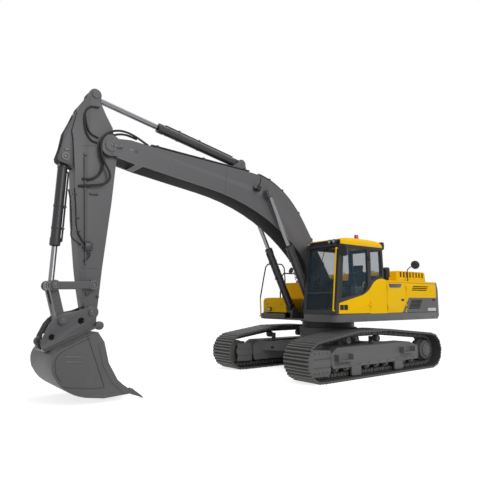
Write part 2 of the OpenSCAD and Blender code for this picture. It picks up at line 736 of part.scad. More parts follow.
// Roof, curved along the cab and bevelled along its edges.
module cab_roof() {
    x1 = front_x(roof_z);
    z = roof_z + roof_t;
    color(yellow) intersection() {
        side(cab_y0, house_y) polygon(concat([[back_x + 25, roof_z], [x1, roof_z], [x1 - 20, roof_z + 75]],
            bend([x1 - 47, roof_z + 108], [x1 - 250, z + 6], [x1 - 653, z], 6),
            bend([back_x + 428, z], [back_x + 105, z - 4], [back_x + 35, roof_z + 45], 6)));
        front(cab_x0, cab_x1) polygon([[cab_y0, roof_z], [house_y, roof_z], [house_y, z - 95], [house_y - 22, z - 40],
            [house_y - 80, z], [cab_y0 + 80, z], [cab_y0 + 22, z - 40], [cab_y0, z - 95]]);
    }
}

// Panes of the cab apart from the door's.
module cab_glass() {
    w = cab_wall;
    color(glass) {
        side(house_y - 26 - glass_t, house_y - 26) rear_pane();
        side(cab_y0 + 26, cab_y0 + 26 + glass_t) right_pane();
        screen(cab_z0 + 90, bar_z - 22);
        screen(bar_z + 22, win_z1 - 15);
        block([back_x + 24, cab_y0 + w + 30, win_z0 + 90], [back_x + 24 + glass_t, house_y - w - 30, win_z1]);
    }
}

// Frame of the cab door.
module cab_door() {
    color(black) {
        difference() {
            side(house_y - 50, house_y) door_line(door_gap);
            side(house_y - 60, house_y + 5) door_pane();
            side(house_y - panel_t, house_y + 5) under_sweep();
        }
        hinge_leaf(door_x0, cab_hinge_z[1], 1);
    }
}

// Lower skin of the cab door.
module door_panel() {
    color(yellow) {
        difference() {
            side(house_y - panel_t, house_y) intersection() {
                under_sweep();
                door_line(door_gap);
            }
            for (x = [cab_x1 - 408, cab_x1 - 272]) block([x, house_y - panel_t - 5, cab_z0 + 88],
                [x + 128, house_y + 5, cab_z0 + 200]);
        }
        hinge_leaf(door_x0, cab_hinge_z[0], 1);
    }
}

module door_glass() { color(glass) side(house_y - 26 - glass_t, house_y - 26) door_pane(); }

cab_mid = (cab_y0 + house_y) / 2;

module seat() {
    color(black) translate([0, cab_mid, 0]) {
        block([20, -180, cab_z1], [420, 180, cab_z1 + 330]);
        block([0, -250, cab_z1 + 330], [500, 250, cab_z1 + 450]);
        side(-240, 240) polygon([[0, cab_z1 + 450], [110, cab_z1 + 450], [-10, cab_z1 + 1080], [-110, cab_z1 + 1080]]);
    }
}

// Consoles beside the seat and the travel levers.
module controls() {
    color(black) translate([0, cab_mid, 0]) {
        for (s = [-1, 1]) {
            block([60, s * 330 - 60, cab_z1], [560, s * 330 + 60, cab_z1 + 560]);
            bar([480, s * 330, cab_z1 + 560], [520, s * 330, cab_z1 + 720], 24);
            block([880, s * 110 - 50, cab_z1], [1080, s * 110 + 50, cab_z1 + 60]);
        }
    }
}

// A round work lamp facing forward, on a foot.
module lamp(p) {
    translate(p + [0, 0, 56]) rotate([0, 90, 0]) cylinder(h = 66, r = 46);
    translate(p - [0, 16, 0]) cube([44, 32, 30]);
}

rear_x0 = back_x + 25;
rear_slope = 25 / (roof_z - cab_z0 - 820);

// Work lamps on the visor, at the back of the roof and on the toolbox.
module lamps() {
    color(black) {
        for (y = [cab_y0 + 130, house_y - 215, house_y - 85]) lamp([front_x(roof_z) + 14, y, roof_z - 8]);
        side(house_y - 110, house_y - 15) polygon([[rear_x0 - 70 * rear_slope, roof_z - 70],
            [rear_x0 - 15 * rear_slope, roof_z - 15], [rear_x0 - 12, roof_z + 10], [rear_x0 - 12, roof_z + 145],
            [rear_x0 - 95, roof_z + 145], [rear_x0 - 110, roof_z + 60], [rear_x0 - 95, roof_z - 20]]);
        block([1000, -house_y + 300, 1400], [1040, -house_y + 420, 1480]);
    }
}

module beacon() {
    color("#b02820") translate([274, house_y - 245, roof_z + roof_t]) {
        cylinder(h = 40, r = 60);
        translate([0, 0, 40]) cylinder(h = 80, r1 = 52, r2 = 44);
    }
}

knee_top = bend([0.2056, 0.1651] * boom_l, [0.3702, 0.2738] * boom_l, [0.5196, 0.2185] * boom_l, 10);
knee_low = bend([0.6574, 0.0657] * boom_l, [0.387, 0.1438] * boom_l, [0.1443, 0.0395] * boom_l, 10);
boom_line = concat([[-80, 170]], knee_top, [[0.8997, 0.0695] * boom_l, [boom_l - 272, 312], [boom_l - 60, 190],
    [boom_l - 60, -150], [0.8905, -0.0016] * boom_l], knee_low, [[100, -160]]);
slot_u = boom_l - 570;

module boom() {
    cap = boom_hw + 24;
    color(dark) frame_at(foot, boom_a) {
        difference() {
            union() {
                side(-boom_hw, boom_hw) {
                    polygon(boom_line);
                    circle(r = 190);
                    translate([boom_l, 0]) circle(r = 200);
                }
                both() side(eye_hw + side_gap, eye_hw + side_gap + 45) {
                    polygon([arm_ram_pin + [-330, -260], arm_ram_pin + [-95, 30], arm_ram_pin + [100, -20],
                        arm_ram_pin + [260, -300]]);
                    translate(arm_ram_pin) circle(r = 105);
                }
            }
            cross([0, 0], -boom_hw - 5, boom_hw + 5, pin_r + pin_gap);
            side(-boom_hw + boom_t, boom_hw - boom_t) intersection() {
                polygon([for (p = boom_line) p * 0.93 + [0.036 * boom_l, 0.006 * boom_l]]);
                polygon([[260, -400], [slot_u + 50, -400], [slot_u + 50, 2000], [260, 2000]]);
            }
            side(-fork_hw, fork_hw) polygon([[slot_u, -600], [boom_l + 400, -600], [boom_l + 400, 700],
                [slot_u, 700]]);
        }
        cross([boom_l, 0], -fork_hw - 10, fork_hw + 10, pin_r);
        both() {
            cross([boom_l, 0], boom_hw, cap, 115);
            cross(ram_pin, boom_hw, ram_y - eye_hw - side_gap, 100);
        }
        cross(arm_ram_pin, -eye_hw - side_gap - 10, eye_hw + side_gap + 10, pin_r);
    }
}

top_p = [0.5196, 0.2185] * boom_l;
top_q = [0.8997, 0.0695] * boom_l;
top_l = norm(top_q - top_p);

// Hydraulic pipes along the boom's top plate in their clamps, and the work lamp on its side.
module boom_lines() {
    color(black) frame_at(foot, boom_a) {
        frame_at(top_p, slope(top_p, top_q)) for (y = [-205, -150, 150, 205]) {
            bar([0.02 * top_l, y, 45], [0.97 * top_l, y, 45], 19);
            for (f = [0.08, 0.5, 0.92]) block([f * top_l - 25, y - 25, 0], [f * top_l + 25, y + 25, 70]);
        }
        translate([0.4765 * boom_l, boom_hw, 0.1665 * boom_l]) {
            cube([110, 40, 60]);
            translate([-10, 40, -20]) cube([130, 90, 110]);
        }
    }
}

// A cylinder barrel with a narrow neck at its foot eye, bored for the rod.
module barrel(l, r, rod, eye, hw, neck) {
    difference() {
        union() {
            cross([0, 0], -hw, hw, eye);
            block([0, -hw, -0.8 * eye], [neck + 30, hw, 0.8 * eye]);
            translate([neck, 0, 0]) rotate([0, 90, 0]) cylinder(h = l - neck, r = r);
            translate([l - 120, 0, 0]) rotate([0, 90, 0]) cylinder(h = 120, r = r + 8);
            translate([neck, 0, 0]) rotate([0, 90, 0]) cylinder(h = 40, r = r + 6);
        }
        cross([0, 0], -hw - 5, hw + 5, pin_r + pin_gap);
        translate([neck + 12, 0, 0]) rotate([0, 90, 0]) cylinder(h = l, r = rod + rod_gap);
    }
}

// A rod from its tail in the barrel to its eye, which carries the pin.
module piston_rod(x0, l, rod, eye, hw) {
    translate([x0, 0, 0]) rotate([0, 90, 0]) cylinder(h = l - x0 - eye / 2, r = rod);
    cross([l, 0], -hw, hw, eye);
}

ram_a = slope(ram_foot, ram_eye);
ram_l = norm(ram_eye - ram_foot);
ram_gland = 0.562 * ram_l;
arm_ram_a = slope(arm_ram_foot, arm_ram_eye);
arm_ram_l = norm(arm_ram_eye - arm_ram_foot);
arm_gland = 0.604 * arm_ram_l;
bucket_ram_a = slope(bucket_ram_foot, rod_eye);
bucket_ram_l = norm(rod_eye - bucket_ram_foot);
bucket_gland = 0.69 * bucket_ram_l;

module boom_cylinders() {
    color(dark) both() translate([0, ram_y, 0]) frame_at(ram_foot, ram_a)
        barrel(ram_gland, ram_r, ram_rod_r, 98, eye_hw, 162);
}

module boom_rods() {
    color(chrome) both() translate([0, ram_y, 0]) frame_at(ram_foot, ram_a) {
        piston_rod(0.357 * ram_l, ram_l, ram_rod_r, 98, eye_hw);
        cross([ram_l, 0], eye_hw, eye_hw + 16, 70);
    }
}

module arm_cylinder() {
    color(dark) frame_at(arm_ram_foot, arm_ram_a) barrel(arm_gland, arm_ram_r, arm_rod_r, 100, eye_hw, 200);
}

module arm_rod() {
    color(chrome) frame_at(arm_ram_foot, arm_ram_a)
        piston_rod(0.41 * arm_ram_l, arm_ram_l, arm_rod_r, 98, eye_hw);
}

module bucket_cylinder() {
    color(dark) frame_at(bucket_ram_foot, bucket_ram_a)
        barrel(bucket_gland, bucket_ram_r, bucket_rod_r, 95, eye_hw, 155);
}

module bucket_rod() {
    color(chrome) frame_at(bucket_ram_foot, bucket_ram_a)
        piston_rod(0.375 * bucket_ram_l, bucket_ram_l, bucket_rod_r, 88, eye_hw);
}

arm_line = [[-990, 400], [-600, 620], [-100, 690], [30, 650], [622, 556], [1426, 453], [arm_l - 732, 286],
    [arm_l - 411, 214], [arm_l - 60, 120], [arm_l - 60, -105], [arm_l - 800, -114], [1027, -158], [169, -165],
    [-372, -27], [-569, 114], [-751, 225], [-930, 262]];

module arm() {
    color(dark) frame_at(tip, arm_a) {
        difference() {
            union() {
                side(-arm_hw, arm_hw) {
                    polygon(arm_line);
                    translate(horn_pin) circle(r = 112);
                    translate([arm_l, 0]) circle(r = 122);
                }
                cross([0, 0], -fork_hw + side_gap, fork_hw - side_gap, 160);
                cross(link_pin, -link_y0 + 5, link_y0 - 5, 95);
                both() side(eye_hw + side_gap, eye_hw + side_gap + 40) {
                    polygon([bucket_ram_pin + [-420, -120], bucket_ram_pin + [-60, 95], bucket_ram_pin + [95, 60],
                        bucket_ram_pin + [190, -220]]);
                    translate(bucket_ram_pin) circle(r = 108);
                }
            }
            cross([0, 0], -fork_hw, fork_hw, pin_r + pin_gap);
            cross([arm_l, 0], -arm_hw - 5, arm_hw + 5, pin_r + pin_gap);
            side(-eye_hw - side_gap, eye_hw + side_gap) polygon([[-1200, 100], [-560, 100], [-420, 330], [-420, 760],
                [-1200, 760]]);
            side(-arm_hw + arm_t, arm_hw - arm_t) polygon([[-330, 130], [-330, 560], [30, 600], [600, 500],
                [1420, 400], [arm_l - 740, 235], [arm_l - 620, -60], [1027, -115], [260, -120], [240, 220],
                [-200, 220]]);
        }
        cross(bucket_ram_pin, -eye_hw - side_gap - 10, eye_hw + side_gap + 10, pin_r);
        cross(link_pin, -link_y1 + 4, link_y1 - 4, pin_r - 8);
        both() cross(horn_pin, arm_hw, arm_hw + 22, 70);
    }
}

// Hydraulic pipes along the arm.
module arm_lines() {
    color(black) frame_at(tip, arm_a) both() {
        bar([320, arm_hw + 18, 420], [arm_l - 800, arm_hw + 18, 190], 18);
    }
}

link_a = slope(link_foot, rod_eye);
link_l = norm(rod_eye - link_foot);

module side_links() {
    color(dark) frame_at(link_foot, link_a) both() {
        difference() {
            side(link_y0, link_y1) {
                polygon([[0, -62], [link_l, -62], [link_l, 62], [0, 62]]);
                circle(r = 88);
                translate([link_l, 0]) circle(r = 88);
            }
            cross([0, 0], link_y0 - 5, link_y1 + 5, pin_r - 8 + pin_gap);
        }
        cross([link_l, 0], eye_hw + side_gap + 2, link_y0 + 10, pin_r - 10);
        cross([link_l, 0], link_y1, link_y1 + 24, 66);
    }
}

power_a = slope(rod_eye, lever_eye);
power_l = norm(lever_eye - rod_eye);
power_y0 = eye_hw + side_gap;
power_y1 = cheek_y - 8;

module power_link() {
    color(dark) frame_at(rod_eye, power_a) difference() {
        union() {
            both() side(power_y0, power_y1) {
                polygon([[0, -66], [power_l, -66], [power_l, 66], [0, 66]]);
                circle(r = 84);
            }
            side(-power_y1, power_y1) polygon([[300, -60], [power_l, -66], [power_l, 66], [300, 60]]);
            cross([power_l, 0], -power_y1, power_y1, 88);
        }
        both() cross([0, 0], power_y0 - 5, power_y1 + 5, pin_r - 10 + pin_gap);
    }
}

module coupler() {
    color(dark) frame_at(nose, seat_a) {
        both() {
            difference() {
                side(cheek_y, cheek_y + cheek_t) {
                    polygon([[-70, -60], [0, 110], [192, 118], [400, 168], [600, 160], [700, 110], [860, -30],
                        [940, -140], [950, -seat_d + 40], [10, -seat_d + 40]]);
                    circle(r = 118);
                    translate(lever_pin) circle(r = 105);
                }
                for (h = [[219, -58, 60], [747, -103, 54]]) translate([h[0], cheek_y - 5, h[1]])
                    rotate([-90, 0, 0]) cylinder(h = cheek_t + 10, r = h[2], $fn = 6);
            }
            cross([0, 0], cheek_y + cheek_t, cheek_y + cheek_t + 22, 60);
            cross(lever_pin, cheek_y + cheek_t, cheek_y + cheek_t + 50, 74);
        }
        cross([0, 0], -cheek_y - 10, cheek_y + 10, pin_r);
        side(-300, 300) polygon([[10, -seat_d + 40], [950, -seat_d + 40], [950, -seat_d], [10, -seat_d]]);
        difference() {
            side(-30, 30) {
                polygon([[800, -seat_d + 40], [950, -seat_d + 40], [985, -110], [835, -110]]);
                translate([910, -105]) circle(r = 76);
            }
            cross([910, -105], -40, 40, 38);
        }
    }
}

bucket_back = concat(bend([860, -seat_d], [1010, -330], [1035, -560], 5),
    bend([1017, -704], [960, -950], [721, -1132], 6), [[455, -1297], [40, -1452]]);
bucket_front = [[20, -1400], [44, -1342], [139, -1142], [176, -813], [120, -463]];
bucket_line = concat([[158, -seat_d]], bucket_back, bucket_front);

// Bucket: side plates, wrapper, edge strips and wear strips.
module bucket() {
    w = bucket_t;
    color(dark) frame_at(nose, seat_a) {
        difference() {
            side(-bucket_hw, bucket_hw) polygon(bucket_line);
            side(-bucket_hw + w, bucket_hw - w) polygon(concat([[190, -seat_d - w]],
                [for (p = bucket_back) if (p[1] < -seat_d - 20 && p[1] > -1440) p + [-w - 4, p[1] < -700 ? w : 0]],
                [[52, -1412], [-200, -1340], [-200, -600], [60, -463]]));
        }
        both() side(bucket_hw, bucket_hw + 12) {
            polygon(concat([for (p = bucket_front) p + [8, 6]], [for (i = [4:-1:0]) bucket_front[i] + [105, 6]]));
            polygon([[200, -1340], [455, -1235], [630, -1128], [700, -1128], [455, -1285], [200, -1382]]);
            polygon([[470, -560], [700, -560], [700, -595], [470, -595]]);
        }
    }
}

module bucket_teeth() {
    color(dark) frame_at(nose, seat_a) {
        for (i = [0:tooth_count - 1]) let(y = (i / (tooth_count - 1) - 0.5) * 2 * (bucket_hw - 65))
            side(y - 55, y + 55) polygon([[20, -1400], [40, -1452], [-20, -1510], [-165, -1655], [-150, -1600],
                [-40, -1400]]);
    }
}

car_body();
slew_ring();
track_frames();
track_left();
track_right();
idlers();
drive_sprockets();
rollers();
revolving_frame();
side_sills();
counterweight();
engine();
deck_cover();
fuel_tank();
toolbox();
handrails();
mirrors();
exhaust();
engine_hood();
left_front_door();
left_rear_door();
right_rear_door();
cab_floor();
cab_frame();
cab_panel();
cab_roof();
cab_glass();
cab_door();
door_panel();
door_glass();
seat();
controls();
lamps();
beacon();
boom();
boom_lines();
boom_cylinders();
boom_rods();
arm_cylinder();
arm_rod();
arm();
arm_lines();
bucket_cylinder();
bucket_rod();
side_links();
power_link();
coupler();
bucket();
bucket_teeth();
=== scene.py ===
"""Dresses the solids of the crawler excavator for a studio view.

Every piece is made in metres in the frame of the solids: X runs to the front, Y to the cab's side and Z up, and the
origin lies on the ground under the slewing axis.
"""
import json
import logging
import math
from dataclasses import dataclass
from enum import Enum
from typing import Callable, Sequence

import bmesh
import bpy
from mathutils import Matrix, Vector

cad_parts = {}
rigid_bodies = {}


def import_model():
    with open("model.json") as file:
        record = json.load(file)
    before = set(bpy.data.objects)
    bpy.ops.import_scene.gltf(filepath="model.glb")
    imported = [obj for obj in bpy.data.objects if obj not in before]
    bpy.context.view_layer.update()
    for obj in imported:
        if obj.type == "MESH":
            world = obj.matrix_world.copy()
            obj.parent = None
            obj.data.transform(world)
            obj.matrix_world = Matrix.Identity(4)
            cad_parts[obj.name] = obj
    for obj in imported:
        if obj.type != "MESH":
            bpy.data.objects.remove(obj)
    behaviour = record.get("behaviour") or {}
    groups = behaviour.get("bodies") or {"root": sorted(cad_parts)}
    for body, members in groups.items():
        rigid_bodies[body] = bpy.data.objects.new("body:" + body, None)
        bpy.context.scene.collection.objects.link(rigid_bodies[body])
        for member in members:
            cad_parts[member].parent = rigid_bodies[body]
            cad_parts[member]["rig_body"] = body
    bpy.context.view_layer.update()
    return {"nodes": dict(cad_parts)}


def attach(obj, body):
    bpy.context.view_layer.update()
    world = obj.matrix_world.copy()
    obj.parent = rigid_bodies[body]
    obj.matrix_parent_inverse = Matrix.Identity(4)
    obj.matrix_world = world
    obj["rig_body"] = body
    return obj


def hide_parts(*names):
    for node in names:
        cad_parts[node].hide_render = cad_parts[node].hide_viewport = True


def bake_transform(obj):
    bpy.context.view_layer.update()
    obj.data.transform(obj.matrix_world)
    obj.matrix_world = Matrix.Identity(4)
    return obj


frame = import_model()
LOG = logging.getLogger("excavator")

Point = Sequence[float]
Colour = tuple[float, float, float]
Paint = Callable[[Vector], int]
Socket = bpy.types.NodeSocket

SIDES = (1, -1)
NAMED_SIDES = ((1, "left"), (-1, "right"))
COAT_ROUGHNESS = 0.08
BUMP_DEPTH = 0.004
DUST_COLOUR = (0.34, 0.31, 0.27)
DUST_LOW, DUST_HIGH = 0.05, 1.1
WEAR_SCALE = 7.0
WEAR_SPAN = (0.42, 0.68)
CLOUD_SPAN = (0.3, 0.7)
ROUGHNESS_SPREAD = (0.85, 1.15)
CLOUD_DETAIL, WEAR_DETAIL, GRAIN_DETAIL = 5.0, 4.0, 2.0
BRUSH_STRETCH = (6.0, 1.0, 1.0)
WHITE = (1.0, 1.0, 1.0, 1.0)
MERGE_DISTANCE = 1e-5
FLAT_ANGLE = math.radians(0.6)
SHARP_ANGLE = math.radians(26)
ROUNDED_ANGLE = math.radians(28)


class Slot(Enum):
    """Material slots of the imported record."""

    GRAPHITE = "graphite_paint"
    YELLOW = "yellow_paint"
    BLACK = "black_paint"
    CHROME = "chromed_steel"
    WORN = "worn_steel"
    DULL = "dull_steel"
    GLASS = "tinted_glass"
    RED = "red_lens"
    CLOTH = "seat_cloth"


class Pattern(Enum):
    """How a finish's fine grain is laid."""

    CLOUD = "cloud"
    BRUSHED = "brushed"
    WEAVE = "weave"


class Graph:
    """A node tree under construction."""

    def __init__(self, tree: bpy.types.NodeTree) -> None:
        """Takes the tree."""
        self.tree = tree

    def node(self, kind: str, sources: "dict[int | str, Socket | float | Point]", **settings: str) -> bpy.types.Node:
        """Adds a node.

        Args:
            kind: Its type.
            sources: A socket or a constant for each input, by name or number.
            settings: The node's own settings.

        Returns:
            The node.
        """
        node = self.tree.nodes.new(kind)
        for name, value in settings.items():
            setattr(node, name, value)
        for key, source in sources.items():
            if isinstance(source, Socket):
                self.tree.links.new(source, node.inputs[key])
            else:
                node.inputs[key].default_value = source
        return node

    def join(self, operation: str, a: Socket, b: Socket) -> Socket:
        """Joins two values in a math node."""
        return self.node("ShaderNodeMath", {0: a, 1: b}, operation=operation).outputs[0]

    def noise(self, place: Socket, scale: float, detail: float) -> Socket:
        """Adds a noise, its scale per metre."""
        return self.node("ShaderNodeTexNoise", {"Vector": place, "Scale": scale, "Detail": detail}).outputs["Fac"]

    def span(self, value: Socket, source: Point, target: Point) -> Socket:
        """Maps a value from one span onto another."""
        ends = zip(("From Min", "From Max", "To Min", "To Max"), (*source, *target))
        return self.node("ShaderNodeMapRange", {"Value": value, **dict(ends)}).outputs["Result"]

    def mix(self, a: "Socket | Colour", b: "Socket | Colour", factor: Socket) -> Socket:
        """Mixes two colours, each a socket or a constant."""
        both = {key: (*c, 1.0) if isinstance(c, tuple) else c for key, c in ((6, a), (7, b))}
        return self.node("ShaderNodeMix", {"Factor": factor, **both}, data_type="RGBA").outputs[2]


def placed(name: str, data: bpy.types.ID) -> bpy.types.Object:
    """Puts a new object in the scene.

    Args:
        name: The object's name.
        data: Its mesh, lamp or camera.

    Returns:
        The object.
    """
    obj = bpy.data.objects.new(name, data)
    bpy.context.scene.collection.objects.link(obj)
    return obj


@dataclass(frozen=True)
class Finish:
    """A surface finish: a colour with slow clouds, worn edges, fine grain and dust near the ground."""

    name: str
    slot: Slot
    colour: Colour
    roughness: float
    metallic: float = 0.0
    clouds: float = 0.10
    cloud_size: float = 0.9
    grain: float = 0.06
    grain_size: float = 0.006
    worn: Colour = (0.30, 0.29, 0.28)
    wear: float = 0.0
    dust: float = 0.0
    coat: float = 0.0
    pattern: Pattern = Pattern.CLOUD
    see_through: float = 0.0
    gloss: float = 0.28

    def material(self) -> bpy.types.Material:
        """Gives the finish's material, made on first use.

        Returns:
            The procedural material.
        """
        known = bpy.data.materials.get(self.name)
        return known if known else self._make()

    def _make(self) -> bpy.types.Material:
        """Builds the node tree.

        Returns:
            The new material.
        """
        mat = bpy.data.materials.new(self.name)
        mat.use_nodes = True
        graph, links = Graph(mat.node_tree), mat.node_tree.links
        shader = mat.node_tree.nodes["Principled BSDF"]
        shader.inputs["Metallic"].default_value = self.metallic
        shader.inputs["Coat Weight"].default_value = self.coat
        shader.inputs["Coat Roughness"].default_value = COAT_ROUGHNESS
        shader.inputs["Specular IOR Level"].default_value = self.gloss
        place = graph.node("ShaderNodeTexCoord", {}).outputs["Object"]
        clouds = graph.noise(place, 1.0 / self.cloud_size, CLOUD_DETAIL)
        colour = graph.mix(self._shade(1.0 - self.clouds), self._shade(1.0 + self.clouds), clouds)
        if self.wear > 0.0:
            colour = graph.mix(colour, self.worn, self._rubbed(graph, place))
        if self.dust > 0.0:
            height = graph.node("ShaderNodeSeparateXYZ", {0: place}).outputs["Z"]
            low = graph.span(height, (DUST_LOW, DUST_HIGH), (self.dust, 0.0))
            colour = graph.mix(colour, DUST_COLOUR, graph.join("MULTIPLY", low, clouds))
        links.new(colour, shader.inputs["Base Color"])
        least, most = (self.roughness * factor for factor in ROUGHNESS_SPREAD)
        rough = graph.span(clouds, CLOUD_SPAN, (least, min(1.0, most)))
        links.new(rough, shader.inputs["Roughness"])
        if self.grain > 0.0:
            height = self._grain(graph, place)
            bump = graph.node("ShaderNodeBump", {"Strength": self.grain, "Distance": BUMP_DEPTH, "Height": height})
            links.new(bump.outputs["Normal"], shader.inputs["Normal"])
        if self.see_through > 0.0:
            shader.inputs["Alpha"].default_value = 1.0 - self.see_through
        return mat

    def _shade(self, factor: float) -> Colour:
        """Scales the colour, kept under one."""
        return tuple(min(1.0, c * factor) for c in self.colour)

    def _grain(self, graph: Graph, place: Socket) -> Socket:
        """Makes the height of the fine grain.

        Args:
            graph: The material's nodes.
            place: The coordinates.

        Returns:
            The height.
        """
        if self.pattern is Pattern.WEAVE:
            return graph.node("ShaderNodeTexChecker", {"Vector": place, "Scale": 1.0 / self.grain_size}).outputs["Fac"]
        if self.pattern is Pattern.BRUSHED:
            place = graph.node("ShaderNodeMapping", {"Vector": place, "Scale": BRUSH_STRETCH}).outputs["Vector"]
        return graph.noise(place, 1.0 / self.grain_size, GRAIN_DETAIL)

    def _rubbed(self, graph: Graph, place: Socket) -> Socket:
        """Tells where the paint is rubbed, along the rounded edges, which carry the attribute edge."""
        broken = graph.span(graph.noise(place, WEAR_SCALE, WEAR_DETAIL), WEAR_SPAN, (0.0, self.wear))
        edge = graph.node("ShaderNodeAttribute", {}, attribute_name="edge").outputs["Fac"]
        return graph.join("MULTIPLY", edge, broken)


GRAPHITE = Finish("graphite_coat", Slot.GRAPHITE, (0.116, 0.116, 0.121), 0.42, clouds=0.05, wear=0.28,
                  worn=(0.20, 0.20, 0.21))
TRACK_STEEL = Finish("track_steel", Slot.WORN, (0.098, 0.096, 0.095), 0.58, 0.25, clouds=0.22, cloud_size=0.25,
                     grain=0.22, wear=0.6, worn=(0.22, 0.22, 0.215), dust=0.12)
FRAME_COAT = Finish("track_frame_coat", Slot.GRAPHITE, (0.135, 0.135, 0.138), 0.5, clouds=0.08, wear=0.35,
                    worn=(0.28, 0.27, 0.26), dust=0.08)
BUCKET_COAT = Finish("bucket_coat", Slot.GRAPHITE, (0.122, 0.122, 0.126), 0.5, clouds=0.09, grain=0.12, wear=0.4,
                     worn=(0.30, 0.29, 0.28), dust=0.05)
YELLOW = Finish("yellow_coat", Slot.YELLOW, (0.98, 0.575, 0.0), 0.42, clouds=0.03, wear=0.12,
                worn=(0.92, 0.60, 0.04), gloss=0.10)
BLACK = Finish("black_coat", Slot.BLACK, (0.022, 0.022, 0.024), 0.45, clouds=0.2, wear=0.18, worn=(0.09, 0.09, 0.09))
# Dark barrel paint. On the bucket's weld beads the same dark stands for painted shade along the joints.
BARREL_AND_SEAM_SHADE = Finish("barrel_and_seam_shade_coat", Slot.GRAPHITE, (0.040, 0.041, 0.044), 0.38, clouds=0.1, wear=0.25,
                worn=(0.16, 0.16, 0.17), coat=0.2)
MOULDED = Finish("moulded_plastic", Slot.BLACK, (0.030, 0.030, 0.032), 0.62, clouds=0.12, grain=0.25,
                 grain_size=0.003)
TRIM_GREY = Finish("console_grey", Slot.BLACK, (0.115, 0.115, 0.115), 0.6, clouds=0.1, grain=0.2, grain_size=0.003)
RUBBER = Finish("hose_rubber", Slot.BLACK, (0.020, 0.020, 0.021), 0.55, clouds=0.2, grain=0.35, grain_size=0.004)
CHROME = Finish("rod_chrome", Slot.CHROME, (0.20, 0.205, 0.215), 0.24, 1.0, clouds=0.03, grain=0.03,
                pattern=Pattern.BRUSHED, grain_size=0.002)
STEEL = Finish("bolt_steel", Slot.DULL, (0.135, 0.135, 0.138), 0.42, 0.35, clouds=0.15, grain=0.08)
# Painted shade, with a little dust, for the grooves between the grousers and the gaps between the shoes.
VALLEY_PAINTED_SHADE = Finish("track_valley_painted_shade", Slot.WORN, (0.030, 0.030, 0.030), 0.75, clouds=0.25, cloud_size=0.2, grain=0.3,
                      dust=0.05)
# Painted highlight on the grousers' tips, lighter than the track steel.
TIP_PAINTED_HIGHLIGHT = Finish("track_tip_painted_highlight", Slot.WORN, (0.155, 0.153, 0.150), 0.42, 0.4, clouds=0.25, cloud_size=0.12, grain=0.15)
MIRROR = Finish("mirror_face", Slot.CHROME, (0.80, 0.82, 0.84), 0.05, 1.0, clouds=0.01, grain=0.0)
LENS = Finish("lamp_lens", Slot.CHROME, (0.34, 0.35, 0.35), 0.16, 0.3, clouds=0.08, grain=0.5, grain_size=0.012)
RED = Finish("red_lens_cap", Slot.RED, (0.52, 0.022, 0.016), 0.2, clouds=0.08, grain=0.3, grain_size=0.01, coat=0.5)
CLOTH = Finish("seat_weave", Slot.CLOTH, (0.030, 0.031, 0.034), 0.9, clouds=0.15, grain=0.5, grain_size=0.005,
               pattern=Pattern.WEAVE)
MESH = Finish("grille_mesh", Slot.BLACK, (0.014, 0.014, 0.015), 0.7, clouds=0.2, grain=0.6, grain_size=0.012,
              pattern=Pattern.WEAVE)
GLASS = Finish("tinted_pane", Slot.GLASS, (0.030, 0.075, 0.110), 0.10, clouds=0.05, grain=0.0, see_through=0.76,
               gloss=0.2)
SCREEN = Finish("screen_glass", Slot.BLACK, (0.012, 0.016, 0.022), 0.12, clouds=0.2, grain=0.0, coat=0.5)
BADGE = Finish("blank_badge", Slot.GRAPHITE, (0.082, 0.082, 0.086), 0.34, clouds=0.06, coat=0.3)
BLANK = Finish("blank_plate", Slot.DULL, (0.62, 0.62, 0.60), 0.4, clouds=0.04)


def tilt(degrees: float, axis: str = "Y") -> Matrix:
    """Gives a turn about an axis."""
    return Matrix.Rotation(math.radians(degrees), 4, axis)


def circle(middle: Point, r: float, angles: Sequence[float]) -> list[Vector]:
    """Sets points round a place in the side view."""
    return [Vector(middle) + r * Vector((math.cos(a), 0.0, math.sin(a))) for a in angles]


def even(count: int) -> list[float]:
    """Divides a full turn evenly."""
    return [2 * math.pi * i / count for i in range(count)]


def straight(a: Point, b: Point, y: float, steps: int) -> list[Point]:
    """Divides a straight line in a side plane."""
    return [(a[0] + (b[0] - a[0]) * t / steps, y, a[1] + (b[1] - a[1]) * t / steps) for t in range(steps + 1)]


def shifted(p: Vector, y: float) -> Vector:
    """Gives the point beside another at a distance from the middle plane."""
    return Vector((p.x, y, p.z))


def unit_turn(axis: Point) -> Matrix:
    """Gives the turn that takes Z to an axis."""
    return Vector((0, 0, 1)).rotation_difference(Vector(axis).normalized()).to_matrix().to_4x4()


@dataclass(frozen=True)
class SidePlane:
    """A member's own frame in the side view: an origin in X and Z, and a turn above X in degrees."""

    x: float
    z: float
    turn: float

    def at(self, u: float, v: float, y: float = 0.0) -> Vector:
        """Gives the point at u along the member, v above it and y from the middle."""
        a = math.radians(self.turn)
        return Vector((self.x + u * math.cos(a) - v * math.sin(a), y, self.z + u * math.sin(a) + v * math.cos(a)))


BOOM_PLANE = SidePlane(0.230, 1.950, 23.67)
ARM_PLANE = SidePlane(5.9597, 4.46159, -85.97)
SEAT_PLANE = SidePlane(6.1718, 1.45105, -23.46)
BOOM_ROD_EYE = (2.7126, 1.1211)
ARM_ROD_EYE = ARM_PLANE.at(-0.905, 0.354)
ARM_PIVOT = Vector((5.9597, 0.0, 4.4616))
BUCKET_CYLINDER_FOOT = Vector((6.71603, 0.0, 4.14195))
BUCKET_ROD_EYE = Vector((6.82059, 0.0, 1.90376))
LINK_PIVOT = Vector((6.18109, 0.0, 1.91685))


